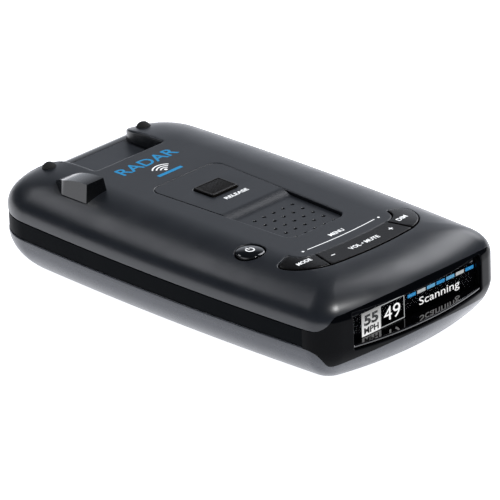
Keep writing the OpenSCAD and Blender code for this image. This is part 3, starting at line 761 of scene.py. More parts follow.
@dataclass(frozen=True)
class CaseForm:
    """Plan and profile of the case: arcs in plan, superellipses in profile."""

    width: float
    length: float = 133.35
    height: float = 27.5
    wall: float = 1.8
    band_low: float = 12.55
    band_high: float = 17.5
    side_r: float = 915.0
    display_end_r: float = 97.0
    windshield_end_r: float = 70.0
    display_corner_r: float = 8.65
    windshield_corner_r: float = 15.3
    crown_base: float = 18.9
    crown_inset: float = 17.6
    crown_power: float = 2.12
    belly_top: float = 12.0
    belly_inset: float = 12.3
    belly_power: float = 1.69
    side_steps: int = 10
    corner_steps: int = 18
    end_steps: int = 14
    profile_steps: int = 20

    def corner_radius(self, corner: float, inset: float) -> float:
        """Returns a corner's radius on an outline drawn in by inset, which stays soft."""
        return corner - inset + inset * inset / 18

    def quarter(self, end_r: float, corner: float, inset: float) -> list[Pair]:
        """A quarter of the plan.

        Args:
            end_r: radius of the end's arc.
            corner: radius of the corner on the outer outline.
            inset: how far the outline is drawn in.

        Returns:
            Points from the middle of the right side to the middle of the end.
        """
        p = Vector((self.width / 2 - self.side_r, 0.0))
        q = Vector((0.0, self.length / 2 - end_r))
        rc = self.corner_radius(corner, inset)
        r1, r2 = self.side_r - inset - rc, end_r - inset - rc
        d = (q - p).length
        a = (r1 * r1 - r2 * r2 + d * d) / (2 * d)
        h = math.sqrt(r1 * r1 - a * a)
        u = (q - p) / d
        c = p + a * u + h * Vector((-u.y, u.x))
        a1 = math.degrees(math.atan2(c.y - p.y, c.x - p.x))
        a2 = math.degrees(math.atan2(c.y - q.y, c.x - q.x))
        points = arc(tuple(p), self.side_r - inset, 0, a1, self.side_steps)[:-1]
        points += arc(tuple(c), rc, a1, a2, self.corner_steps)[:-1]
        return points + arc(tuple(q), end_r - inset, a2, 90, self.end_steps)

    def plan(self, inset: float) -> list[Pair]:
        """Returns the whole plan outline, drawn in by inset."""
        back = self.quarter(self.windshield_end_r, self.windshield_corner_r, inset)
        front = [(x, -y) for x, y in self.quarter(self.display_end_r, self.display_corner_r, inset)]
        whole = back + [(-x, y) for x, y in back[-2::-1]]
        return whole + [(-x, y) for x, y in front[1:]] + front[-2:0:-1]

    def ring(self, inset: float, z: float) -> Ring:
        """Returns the plan outline as a ring at height z."""
        return level(self.plan(inset), z)

    def crown(self, wall: float = 0.0) -> list[Ring]:
        """Returns the crown's rings from its base up, for a wall drawn in by wall."""
        rings = []
        for i in range(self.profile_steps + 1):
            along, up = direction(90 * i / self.profile_steps)
            rise = abs(up) ** (2 / self.crown_power)
            draw = 1 - abs(along) ** (2 / self.crown_power)
            if i == self.profile_steps:
                draw = 1.0
            rings.append(self.ring(wall + (self.crown_inset - wall) * draw,
                                   self.crown_base + (self.height - wall - self.crown_base) * rise))
        return rings

    def belly(self, wall: float = 0.0) -> list[Ring]:
        """Returns the belly's rings from the flat bottom up, for a wall drawn in by wall."""
        rings = []
        for i in range(self.profile_steps + 1):
            along, up = direction(90 * i / self.profile_steps)
            fall = 0.0 if i == self.profile_steps else abs(along) ** (2 / self.belly_power)
            draw = 1 - abs(up) ** (2 / self.belly_power)
            rings.append(self.ring(wall + (self.belly_inset - wall) * draw,
                                   self.belly_top - (self.belly_top - wall) * fall))
        return rings

    def solid(self, wall: float = 0.0) -> Object:
        """Returns the whole form of the case, drawn in by wall, as one solid."""
        return Bench.loft("form", self.belly(wall) + self.crown(wall))

    def crown_solid(self, lift: float = 0.0) -> Object:
        """Returns the crown alone, raised by lift."""
        form = Bench.loft("crown", [self.ring(0, self.band_low)] + self.crown())
        form.data.transform(Matrix.Translation((0, 0, lift)))
        return form

    def side_wall(self, wall: float) -> Object:
        """Returns the side walls with no floor and no top."""
        outer = self.belly()[1:] + self.crown()[:-1]
        inner = self.belly(wall)[1:] + self.crown(wall)[:-1]
        return Bench.loft("side_wall", outer + inner[::-1], closed=True)


@dataclass(frozen=True)
class EndZones:
    """Where the black bezel and the smoked panel meet the two shells."""

    form: CaseForm
    bezel_seam: float = -54.1
    brow_front: float = 21.9
    brow_middle: float = 23.2
    brow_outer: float = 33.3
    brow_inner: float = 28.0
    lip_front: float = 7.3
    lip_middle: float = 10.45
    lip_outer: float = 34.0
    lip_inner: float = 28.8
    panel_seam: float = 50.0
    panel_low: float = 8.0
    panel_outer: float = 28.0
    panel_inner: float = 23.0
    panel_half: float = 26.0
    steps: int = 70

    def brow(self, x: float) -> float:
        """Returns the height of the top shell's edge over the bezel."""
        arch = self.brow_middle - (self.brow_middle - self.brow_front) * (x / 25) ** 2
        t = smooth_step((self.brow_outer - abs(x)) / (self.brow_outer - self.brow_inner))
        return self.form.band_high + (arch - self.form.band_high) * t

    def lip(self, x: float) -> float:
        """Returns the height of the bottom shell's edge under the bezel."""
        arch = self.lip_middle - (self.lip_middle - self.lip_front) * (x / self.lip_inner) ** 2
        t = smooth_step((self.lip_outer - abs(x)) / (self.lip_outer - self.lip_inner))
        return self.form.band_low + (arch - self.form.band_low) * t

    def panel_foot(self, x: float) -> float:
        """Returns the height of the bottom shell's edge under the smoked panel."""
        t = smooth_step((self.panel_outer - abs(x)) / (self.panel_outer - self.panel_inner))
        return self.form.band_low - (self.form.band_low - self.panel_low) * t

    def zone(self, low: Edge, high: Edge, y: Pair, grow: float) -> Object:
        """A prism along Y between two edge curves.

        Args:
            low: height of the lower edge at x.
            high: height of the upper edge at x.
            y: its two ends.
            grow: how far it is grown up and down.

        Returns:
            The prism.
        """
        span = self.form.width / 2 * 1.02
        xs = [span * i / self.steps for i in range(-self.steps, self.steps + 1)]
        outline = [(x, low(x) - grow) for x in xs] + [(x, high(x) + grow) for x in reversed(xs)]
        return Bench.beam("zone", "Y", outline, y)

    def bezel(self, grow: float) -> Object:
        """Returns the bezel's zone."""
        return self.zone(self.lip, self.brow, (-FAR, self.bezel_seam + grow), grow)

    def panel(self, grow: float) -> Object:
        """Returns the smoked panel's zone."""
        zone = self.zone(self.panel_foot, lambda x: self.form.band_high, (self.panel_seam, FAR), grow)
        half = self.panel_half + grow
        limit = Bench.block("limit", (-half, half), (self.panel_seam, FAR), (0, 40))
        return Bench.combine(zone, Join.KEEP, limit)


@dataclass(frozen=True)
class SlotForm:
    """Plan of the mount slot, which flares out to the windshield end, and the roll of the panel behind it."""

    half: float = 12.65
    floor: float = 23.3
    front: float = 41.87
    flare_y: float = 53.0
    flare_r: float = 8.0
    corner_r: float = 0.9
    shelf_y: float = 57.5
    roll: Pair = (8.4, 7.6)
    cheek: float = 1.3

    def outline(self, grow: float) -> list[Pair]:
        """Returns the slot's plan, grown by grow."""
        inner = (self.half - self.corner_r, self.front + self.corner_r)
        right = arc(inner, self.corner_r + grow, -90, 0, 5)
        right += arc((self.half + self.flare_r, self.flare_y), self.flare_r - grow, 180, 90, 18)
        right.append((self.half + self.flare_r, FAR))
        return right + mirrored(right)

    def shelf(self, drawn: float) -> list[Pair]:
        """Returns the panel's roll as pairs of y and z, drawn in by drawn."""
        points = []
        for i in range(25):
            up, along = direction(90 * i / 24)
            points.append((self.shelf_y + drawn + (self.roll[0] - drawn) * along,
                           self.floor - SEAM - self.roll[1] + (self.roll[1] - drawn) * up))
        return points


# ---------- keys' and insert's outlines ----------


def side_key_outline(side: Side) -> Outline:
    """Returns the outline of a side key, whose inner edge follows the volume bar."""

    def outline(grow: float) -> list[Pair]:
        """Returns the key's plan, grown by grow."""
        right = [(13.65 - grow, -40.15 + grow), (15.35 - grow, -47.35 - grow)]
        right += arc((13.1, -36.5), 11 + grow, -74, -10, 22)
        right += [(23.9 + grow, -37.4 + grow / 2), (23.2 + grow / 2, -36.6 + grow)]
        right += [(19.3, -35.4 + grow), (18.6 - grow, -35.6 + grow)]
        right += arc((13.5, -35), 5.15 - grow, -14, -80, 12)
        return right if side is Side.RIGHT else mirrored(right)

    return finely(outline, 0.9)


def volume_outline() -> Outline:
    """Returns the outline of the volume bar, whose long edges bow towards the display."""

    def outline(grow: float) -> list[Pair]:
        """Returns the bar's plan, grown by grow."""
        front = arc((0, 60.5), 109 + grow, 270 - 7.85 - grow / 2, 270 + 7.85 + grow / 2, 30)
        return front + arc((0, 75.1), 116 - grow, 270 + 6.5 + grow / 2, 270 - 6.5 - grow / 2, 30)

    return finely(outline, 1.0)


@dataclass(frozen=True)
class InsertForm:
    """Plan and profile of the insert that carries the release key and the speaker grille."""

    rear_y: float = 21.8
    front_y: float = -28.3
    rear_half: float = 12.2
    front_half: float = 10.3
    corner_r: float = 3.0
    top: float = 27.5
    grille_top: float = 26.5
    under: float = 25.0
    ramp: Pair = (-3.4, -8.5)
    gap: float = 0.12

    def outline(self, grow: float) -> list[Pair]:
        """Returns the tapered plan with round corners, grown by grow."""
        r = self.corner_r
        xr, yr = self.rear_half - r, self.rear_y - r
        xf, yf = self.front_half - r, self.front_y + r
        points = arc((xr, yr), r + grow, 2, 90, 10) + arc((-xr, yr), r + grow, 90, 178, 10)
        return points + arc((-xf, yf), r + grow, 182, 270, 10) + arc((xf, yf), r + grow, 270, 358, 10)

    def height(self, _x: float, y: float) -> float:
        """Returns the height of the insert's face, which steps down over a ramp with soft ends."""
        t = (self.ramp[0] - y) / (self.ramp[0] - self.ramp[1])
        return self.top - (self.top - self.grille_top) * smooth_step(t)


# ---------- shells ----------


@dataclass
class Shells:
    """The two shells, the side bands and the smoked panel."""

    form: CaseForm
    zones: EndZones
    slot: SlotForm
    insert: InsertForm
    drape: Drape
    key_gap: float = 0.3
    rim_round: float = 0.35
    slot_mouth: float = 0.6
    insert_mouth: float = 0.42
    power_mouth: float = 0.25
    key_mouth: float = 0.36
    below: float = 20.0
    edge_round: float = 0.14
    edge_angle: float = 55.0
    socket_reach: float = 31.7
    screw_recess_r: float = 2.6
    screw_places: tuple[Pair, ...] = ((-15.5, -51.2), (15.5, -51.2), (-17, 50.5), (17, 50.5))

    def opening(self, outline: Outline, radius: float, low: float) -> Object:
        """A tool that opens the crown with a rounded mouth.

        Args:
            outline: plan of the opening.
            radius: radius of its mouth.
            low: how deep it goes.

        Returns:
            The tool.
        """
        floor = low + 2 * radius
        rings = shouldered(outline, lambda x, y: max(floor, self.drape.height(x, y)), low, SKY, radius, 1)
        return Bench.loft("opening", rings)

    def rim(self, z: float, up: int) -> list[Ring]:
        """Returns the rings of a rounded rim at height z, for a shell that lies above (1) or below (-1)."""
        rings = []
        for angle in (0, 30, 60, 90):
            along, out = direction(angle)
            rings.append(self.form.ring(self.rim_round * (1 - along), z + up * self.rim_round * (1 - out)))
        return rings

    def top(self) -> Object:
        """Builds the top shell with its slot, its keys' openings and the insert's frame."""
        edge = self.form.band_high + SEAM
        wall = self.form.wall
        rings = self.form.crown()[::-1] + self.rim(edge, 1) + [self.form.ring(wall, edge)]
        shell = Bench.loft("top_shell", rings + self.form.crown(wall))
        cheeks = Bench.prism("cheeks", self.slot.outline(self.slot.cheek), self.slot.floor, SKY)
        Bench.combine(cheeks, Join.KEEP, self.form.crown_solid())
        Bench.combine(cheeks, Join.KEEP, Bench.block(
            "limit", (-40, 40), (self.slot.front + 0.2, self.slot.shelf_y), (0, SKY)))
        Bench.combine(shell, Join.ADD, cheeks)
        slot = finely(self.slot.outline, 1.0)
        back = Bench.prism("back", self.slot.outline(0.02), self.form.band_high - 1, SKY - 1)
        Bench.combine(back, Join.KEEP, Bench.block("limit", (-FAR, FAR), (self.slot.shelf_y, 90), (0, SKY)))
        power = circle(plan_middle("power_button"), power_radius() + self.key_gap)
        window = rounded_box((2.4, 3.9), (plan_middle("rear_laser_lens")[0], 36.0), 0.3)
        tools = [
            self.zones.bezel(SEAM),
            self.opening(slot, self.slot_mouth, self.slot.floor),
            back,
            self.opening(lambda g: self.insert.outline(g + self.insert.gap), self.insert_mouth, self.below),
            self.opening(power, self.power_mouth, self.below),
            Bench.prism("window", window(0), self.below, 30),
        ]
        bars = (side_key_outline(Side.LEFT), side_key_outline(Side.RIGHT), volume_outline())
        tools += [self.opening(lambda g, bar=bar: bar(g + self.key_gap), self.key_mouth, self.below)
                  for bar in bars]
        Bench.combine(shell, Join.CUT, *tools)
        Bench.soften(shell, self.edge_round, 2, self.edge_angle)
        return Bench.finish(shell, "top_shell", Body.CASE, "top_shell", CHARCOAL, ["top_housing"])

    def bottom(self) -> Object:
        """Builds the bottom shell with its screw recesses, label recess and socket mouths."""
        edge = self.form.band_low - SEAM
        wall = self.form.wall
        rings = self.form.belly() + self.rim(edge, -1) + [self.form.ring(wall, edge)]
        shell = Bench.loft("bottom_shell", rings + self.form.belly(wall)[::-1])
        bosses = [Bench.turned("boss", ((3.2, 1), (3.2, 9)), place) for place in self.screw_places]
        Bench.combine(shell, Join.ADD, *bosses)
        r = self.screw_recess_r
        recess = ((r + 1.3, -1.0), (r + 0.3, 0.0), (r, 0.3), (r, 3.5))
        recesses = [Bench.turned("recess", recess, place) for place in self.screw_places]
        label_low, label_high = node_box("label_plate")
        label = rounded_box(((label_high.x - label_low.x) / 2, (label_high.y - label_low.y) / 2),
                            (0, plan_middle("label_plate")[1]), 0.05)
        tools = [self.zones.bezel(SEAM), self.zones.panel(SEAM), Bench.prism("label", label(0.2), -1, 0.4)]
        Bench.combine(shell, Join.CUT, *tools, *recesses, *self.socket_mouths())
        Bench.soften(shell, self.edge_round, 2, self.edge_angle)
        return Bench.finish(shell, "bottom_shell", Body.CASE, "bottom_shell", SLATE, ["bottom_housing"])

    def socket_mouths(self) -> list[Object]:
        """Returns the tools that open the right side for the three sockets."""
        power_low, power_high = node_box("power_jack")
        usb_low, usb_high = node_box("usb_socket")
        reach = (self.socket_reach, 50.0)
        tools = [Bench.block("mouth", reach, (power_low.y + 1.1, power_high.y - 1.1),
                             (power_low.z + 0.3, power_high.z - 0.5))]
        tools.append(Bench.block("mouth", reach, (usb_low.y - 0.25, usb_high.y + 0.25),
                                 (usb_low.z - 0.15, usb_high.z + 0.15)))
        bore = Bench.turned("mouth", ((2.2, reach[0]), (2.2, 34.2), (3.4, 35.4)), (0, 0))
        place = Matrix.Translation((0, plan_middle("earphone_jack")[1], EARPHONE_Z))
        bore.data.transform(place @ quarter_turn("Y"))
        tools.append(bore)
        for tool in tools[:2]:
            Bench.soften(tool, 0.5, 3)
        return tools

    def band(self, side: Side) -> Object:
        """Builds one side band: a flat stripe, set in a little, with softened edges."""
        low, high = self.form.band_low, self.form.band_high
        inset, edge = 0.12, 0.22
        outer = [self.form.ring(inset + edge, low), self.form.ring(inset, low + edge),
                 self.form.ring(inset, high - edge), self.form.ring(inset + edge, high)]
        inner = [self.form.ring(self.form.wall, high), self.form.ring(self.form.wall, low)]
        band = Bench.loft("band", outer + inner, closed=True)
        tools = [
            Bench.block("cut", (-FAR, FAR), (-90, self.zones.bezel_seam + 2 * SEAM), (0, SKY)),
            Bench.block("cut", (-26.1, 26.1), (0, 90), (0, SKY)),
            Bench.block("cut", (-90, 0) if side is Side.RIGHT else (0, 90), (-90, 90), (0, SKY)),
        ]
        if side is Side.RIGHT:
            tools += self.socket_mouths()
        Bench.combine(band, Join.CUT, *tools)
        where = side.name.lower()
        return Bench.finish(band, f"{where}_band", Body.CASE, "side_band", BAND_BLACK, [f"{where}_side_band"])

    def panel(self) -> Object:
        """Builds the smoked panel, whose top rolls down from the slot's floor."""
        wall, start = self.form.wall, self.slot.shelf_y
        shelf = self.along_x([(start, 0.0)] + self.slot.shelf(0.0))
        Bench.combine(shelf, Join.KEEP, Bench.prism(
            "limit", self.slot.outline(-SEAM), self.form.band_high - 1, self.slot.floor + 1))
        zone = Bench.combine(self.zones.panel(0.0), Join.ADD, shelf)
        panel = Bench.combine(self.form.solid(), Join.KEEP, zone)
        step = self.form.band_high + 0.1
        hollow = self.along_x([(45.0, 0.0), (45.0, step), (start + wall, step)] + self.slot.shelf(wall))
        Bench.combine(hollow, Join.KEEP, self.form.solid(wall))
        Bench.combine(panel, Join.CUT, hollow)
        return Bench.finish(panel, "smoked_panel", Body.CASE, "smoked_panel", SMOKE, ["windshield_panel"])

    def along_x(self, outline: list[Pair]) -> Object:
        """Returns the prism under an outline of y and z, carried on past the windshield end."""
        whole = outline + [(FAR, outline[-1][1]), (FAR, 0.0)]
        return Bench.beam("shelf", "X", whole, (-30, 30))

    def build(self) -> None:
        """Builds all five pieces."""
        self.top()
        self.bottom()
        self.band(Side.LEFT)
        self.band(Side.RIGHT)
        self.panel()


# ---------- display end ----------


@dataclass
class DisplayEnd:
    """The piano-black bezel, its window and what the display shows."""

    form: CaseForm
    zones: EndZones
    drape: Drape
    bezel_wall: float = 1.5
    window_half: float = 23.9
    window_z: Pair = (11.2, 21.4)
    mouth_round: float = 0.35
    floor_z: float = 12.35
    tunnel_back: Pair = (23.4, 19.8)
    tunnel_front: Pair = (23.85, 21.35)
    sill_half: float = 23.82
    dash_pitch: float = 3.63
    dash_size: Pair = (3.05, 0.95)
    dash_z: float = 17.78

    def bezel(self) -> Object:
        """Builds the bezel with a rounded mouth round the window."""
        bezel = Bench.combine(self.form.side_wall(self.bezel_wall), Join.KEEP, self.zones.bezel(0.0))
        middle = sum(self.window_z) / 2
        half = (self.window_half, self.window_z[1] - middle)
        mouth = finely(rounded_box(half, (0.0, middle), 0.5), 1.2)
        rings = shouldered(mouth, self.drape.depth, -self.zones.bezel_seam + 1, 90, self.mouth_round, 1)
        tool = Bench.loft("mouth", [[(x, -out, z) for x, z, out in ring] for ring in rings])
        Bench.combine(bezel, Join.CUT, tool)
        return Bench.finish(bezel, "bezel", Body.CASE, "bezel_black", PIANO, ["front_bezel"])

    def tunnel(self) -> Object:
        """Builds the tunnel from the window to the display, with a level mirror floor and a rolled sill."""
        low, high = node_box("display_shroud")
        tunnel = Bench.block("tunnel", (low.x, high.x), (low.y, high.y), (low.z, high.z))
        Bench.combine(tunnel, Join.KEEP, self.form.solid(self.bezel_wall + SEAM))
        floor = self.floor_z
        mouths = ((high.y + 1, self.tunnel_back), (high.y - 0.3, self.tunnel_back),
                  (low.y, self.tunnel_front), (low.y - 5, self.tunnel_front))
        hollow = Bench.loft("hollow", [
            [(x, y, z) for x, z in rounded_box((half, (top - floor) / 2), (0, (top + floor) / 2), 0.3, 4)(0)]
            for y, (half, top) in mouths])
        Bench.combine(tunnel, Join.CUT, hollow)
        sill = Bench.block("sill", (-self.sill_half, self.sill_half), (-FAR, high.y - 0.02),
                           (self.window_z[0] + 0.3, floor))
        Bench.combine(sill, Join.KEEP, self.form.solid(self.mouth_round + 0.1))
        Bench.soften(sill, 0.4, 4, 50)
        tunnel = Bench.combine(tunnel, Join.ADD, sill)
        return Bench.finish(tunnel, "display_tunnel", Body.CASE, "bezel_black", MIRROR, ["display_shroud"])

    def on_display(self, piece: Object, x: float, z: float, lift: float = 0.0) -> Object:
        """Stands a flat piece up on the display's face.

        Args:
            piece: the piece, drawn about the origin in the XY plane.
            x: where its middle goes.
            z: the height of its middle.
            lift: how far it stands proud of the other figures.

        Returns:
            The piece.
        """
        face = node_box("display_panel")[0].y
        piece.data.transform(Matrix.Translation((x, face - 0.012 - lift, z)) @ quarter_turn("X"))
        return piece

    def patch(self, x: Pair, z: Pair, lift: float = 0.0, radius: float = 0.12) -> Object:
        """Returns a lit patch between limits of x and z."""
        half = ((x[1] - x[0]) / 2, (z[1] - z[0]) / 2)
        flat = Bench.prism("patch", rounded_box(half, (0, 0), radius, 3)(0), -0.008, 0.008)
        return self.on_display(flat, sum(x) / 2, sum(z) / 2, lift)

    def frame_of(self, x: Pair, z: Pair, line: float) -> Object:
        """Returns a thin lit frame round limits of x and z."""
        outer = self.patch(x, z, radius=0.02)
        hole = Bench.block("hole", (x[0] + line, x[1] - line), (-70, -50), (z[0] + line, z[1] - line))
        return Bench.combine(outer, Join.CUT, hole)

    def word(self, words: str, fit: Pair, x: float, z: float, weight: float, lift: float = 0.0) -> Object:
        """Returns a word on the display, fitted to a width and height."""
        return self.on_display(Bench.lettering(words, fit, weight, 0.016), x, z, lift)

    def figures(self) -> None:
        """Builds the speed panel, the speed, the signal bar and the word under it."""
        pieces = {
            "speed_limit_panel": (self.patch((-18.9, -12.0), (12.4, 19.0), radius=0.02), LIT_PANEL),
            "speed_limit": (Bench.join([
                self.word("55", (5.3, 3.0), -15.4, 16.6, 0.16, 0.02),
                self.word("MPH", (5.4, 1.75), -15.4, 13.75, 0.13, 0.02)]), LIT_OFF),
            "speed_frame": (self.frame_of((-12.0, -3.0), (12.45, 18.9), 0.22), LIT_GREY),
            "speed": (self.word("49", (6.1, 3.9), -7.6, 15.65, 0.0), LIT_WHITE),
            "mode_word": (self.word("Scanning", (15.2, 2.9), 10.1, 14.6, 0.0), LIT_WHITE),
        }
        colours = (LIT_BLUE, LIT_GREY, LIT_SKY, LIT_BLUE, LIT_SKY, LIT_GREY, LIT_BLUE)
        for i, colour in enumerate(colours):
            middle = -0.2 + i * self.dash_pitch
            half_w, half_h = self.dash_size[0] / 2, self.dash_size[1] / 2
            across = (middle - half_w, middle + half_w)
            dash = self.patch(across, (self.dash_z - half_h, self.dash_z + half_h))
            pieces[f"signal_bar_{i + 1}"] = (dash, colour)
        for name, (piece, finish) in pieces.items():
            Bench.finish(piece, name, Body.CASE, "display_face", finish, crisp=False)

    def build(self) -> None:
        """Builds the bezel and the figures."""
        self.bezel()
        self.tunnel()
        self.figures()


# ---------- insert, keys and lens ----------


@dataclass(frozen=True)
class Dome:
    """The shallow dome of the power key."""

    radius: float = 3.85
    top: float = 27.72
    rise: float = 0.7

    def height(self, out: float) -> float:
        """Returns the dome's height at a distance from its axis."""
        share = min(1.0, out / self.radius)
        return self.top - self.rise * (1 - math.sqrt(1 - share * share))


@dataclass
class TopControls:
    """The insert with its grille, the release key, the row of keys and the power key."""

    form: CaseForm
    insert: InsertForm
    drape: Drape
    key_round: float = 0.25
    hole_r: float = 0.5
    hole_pitch: Pair = (3.5, 3.8)
    hole_middle: Pair = (0.0, -19.4)
    hole_rows: int = 5
    dome: Dome = Dome()

    def release_place(self) -> tuple[Pair, Pair]:
        """Returns the release key's half size and middle in plan."""
        low, high = node_box("release_button")
        flange = 0.8
        half = ((high.x - low.x) / 2 - flange, (high.y - low.y) / 2 - flange)
        return half, (0.0, plan_middle("release_button")[1])

    def plate(self) -> Object:
        """Builds the insert: its ramp, its rounded edges, the grille and the release key's frame."""
        form = self.insert
        ys = [form.rear_y + 2 - i * (form.rear_y - form.front_y + 4) / 120 for i in range(121)]
        face = [(y, form.height(0, y)) for y in ys]
        floor = [(form.front_y - 2, form.under), (form.rear_y + 2, form.under)]
        plate = Bench.beam("plate", "X", face + floor, (-15, 15))
        outline = finely(form.outline, 0.5)
        edge = Bench.loft("edge", shouldered(outline, form.height, form.under - 1, SKY, 0.14, -1))
        Bench.combine(plate, Join.KEEP, edge)
        holes = []
        for i in range(self.hole_rows):
            for j in range(self.hole_rows):
                place = (self.hole_middle[0] + (i - 2) * self.hole_pitch[0],
                         self.hole_middle[1] + (j - 2) * self.hole_pitch[1])
                top = form.height(*place)
                mouth = ((self.hole_r, 20), (self.hole_r, top - 0.1), (self.hole_r + 0.3, top + 0.2))
                holes.append(Bench.turned("hole", mouth, place, 20))
        half, middle = self.release_place()
        key = finely(rounded_box(half, middle, 0.7), 1.0)
        release = Bench.loft("release", shouldered(
            lambda g: key(g + 0.2), form.height, 20, SKY, 0.3, 1))
        Bench.combine(plate, Join.CUT, Bench.join(holes), release)
        flange = Bench.prism("flange", form.outline(1.2), form.under - 0.35, form.top - self.form.wall - SEAM)
        Bench.combine(flange, Join.CUT, Bench.prism("hole", form.outline(-1.2), 0, SKY))
        Bench.combine(plate, Join.ADD, flange)
        return Bench.finish(plate, "grille_insert", Body.CASE, "top_shell", CHARCOAL, ["top_insert"])

    def release_key(self) -> Object:
        """Builds the release key: soft corners, a thin raised rim and fine grip ribs inside it."""
        half, middle = self.release_place()
        low, high = node_box("release_button")
        outline = rounded_box(half, middle, 0.7)
        body = [level(outline(0), low.z + 1.3), level(outline(0), high.z - 0.3)]
        for angle in (30, 60, 90):
            along, up = direction(angle)
            body.append(level(outline(-0.3 * (1 - along)), high.z - 0.3 * (1 - up)))
        key = Bench.loft("release_key", body)
        hollow = Bench.prism("hollow", outline(-0.6), high.z - 0.13, SKY)
        Bench.combine(key, Join.CUT, hollow)
        ribs = []
        count = 15
        reach = half[0] - 1.0
        rib_y = (middle[1] - half[1] + 0.95, middle[1] + half[1] - 0.95)
        for i in range(count):
            x = -reach + 2 * reach * i / (count - 1)
            rib = Bench.block("rib", (x - 0.14, x + 0.14), rib_y, (high.z - 0.4, high.z - 0.04))
            ribs.append(Bench.soften(rib, 0.08, 2))
        Bench.combine(key, Join.ADD, Bench.join(ribs))
        flange = Bench.block("flange", (low.x, high.x), (low.y, high.y), (low.z + 1.0, low.z + 1.9))
        stem = Bench.turned("stem", ((1.5, low.z), (1.5, low.z + 1.5)), middle)
        Bench.combine(key, Join.ADD, flange, stem)
        return Bench.finish(key, "release_key", Body.RELEASE, "key_black", RELEASE_BLACK, ["release_button"])

    def key(self, name: str, node: str, body: Body, outline: Outline) -> Object:
        """Builds one key, whose top follows the crown and stands a little proud.

        Args:
            name: name of the piece.
            node: the CAD node that it replaces.
            body: the body that it moves with.
            outline: its plan.

        Returns:
            The key.
        """
        low = node_box(node)[0]
        key = self.form.crown_solid(KEY_PROUD)
        rings = shouldered(outline, lambda x, y: self.drape.height(x, y) + KEY_PROUD,
                           low.z + 1.2, SKY, self.key_round, -1)
        Bench.combine(key, Join.KEEP, Bench.loft("edge", rings))
        return Bench.finish(key, name, body, "key_black", KEY_BLACK, [node])

    def power_key(self) -> Object:
        """Builds the power key: a shallow polished dome with a rolled edge."""
        low = node_box("power_button")[0]
        radius = power_radius()
        flange = radius + POWER_FLANGE
        profile = [(0.9, low.z), (0.9, low.z + 1.1), (flange, low.z + 1.1), (flange, low.z + 1.8),
                   (radius, low.z + 1.8), (radius, self.dome.height(radius))]
        for i in range(1, 15):
            out = radius * direction(i * 6)[0]
            profile.append((out, self.dome.height(out)))
        profile.append((0.05, self.dome.height(0.0)))
        key = Bench.turned("power_key", profile, plan_middle("power_button"))
        return Bench.finish(key, "power_key", Body.POWER, "key_black", POWER_BLACK, ["power_button"])

    def build(self) -> None:
        """Builds the insert and every key."""
        self.plate()
        self.release_key()
        self.key("sensitivity_cap", "sensitivity_key", Body.SENSITIVITY, side_key_outline(Side.LEFT))
        self.key("brightness_cap", "brightness_key", Body.BRIGHTNESS, side_key_outline(Side.RIGHT))
        self.key("volume_cap", "volume_bar", Body.VOLUME, volume_outline())
        self.power_key()


@dataclass
class WindshieldEnd:
    """The rear lens and the two bumpers on the windshield end."""

    lens_middle: Pair = (-23.35, 30.5)
    lens_half: float = 3.95
    lens_length: float = 15.2
    arch_r: float = 26.0

    def lens_ring(self, drawn: float, z: float) -> Ring:
        """Returns the lens's plan at height z: straight in front, pointed behind."""
        x0, y0 = self.lens_middle
        right = [(self.lens_half - drawn, y0 + drawn / 2)]
        right += arc((0, y0 + 8.5), self.lens_half - drawn, 0, 35, 8)
        points = right + [(0.45, y0 + self.lens_length - drawn)]
        return [(x + x0, y, z) for x, y in points + mirrored(points)]

    def lens(self) -> Object:
        """Builds the wedge lens: leaning sides under an arched top, with thin bright edges."""
        low, high = node_box("rear_laser_lens")
        base = low.z + 1.0
        lens = Bench.loft("lens", [self.lens_ring(0.0, base), self.lens_ring(0.95, base + 5.4)])
        arch = arc((self.lens_middle[1] + 1.5, high.z - self.arch_r), self.arch_r, 50, 130, 60)
        outline = arch + [(arch[-1][0], 20.0), (arch[0][0], 20.0)]
        cap = Bench.beam("arch", "X", outline, (-40, 0))
        Bench.combine(lens, Join.KEEP, cap)
        Bench.soften(lens, 0.3, 3, 35)
        return Bench.finish(lens, "rear_lens", Body.CASE, "laser_lens", LENS_SMOKE, ["rear_laser_lens"])

    def bumpers(self) -> Object:
        """Builds the two soft bumpers: a dome on a short foot with a waist."""
        low, high = node_box("windshield_bumpers")
        radius = 2.1
        foot = high.z - radius - 0.1
        profile = [(1.15, low.z), (1.15, foot), (radius - 0.15, foot), (radius - 0.05, foot + 0.12),
                   (radius - 0.1, foot + 0.3)]
        for angle in range(12, 89, 7):
            along, up = direction(angle)
            profile.append((radius * along, foot + 0.1 + radius * up))
        profile.append((0.05, high.z))
        y = plan_middle("windshield_bumpers")[1]
        domes = [Bench.turned("dome", profile, (x, y)) for x in (low.x + radius, high.x - radius)]
        return Bench.finish(Bench.join(domes), "bumpers", Body.CASE, "bumper_rubber", RUBBER,
                            ["windshield_bumpers"])

    def build(self) -> None:
        """Builds the lens and the bumpers."""
        self.lens()
        self.bumpers()


# ---------- printed marks ----------


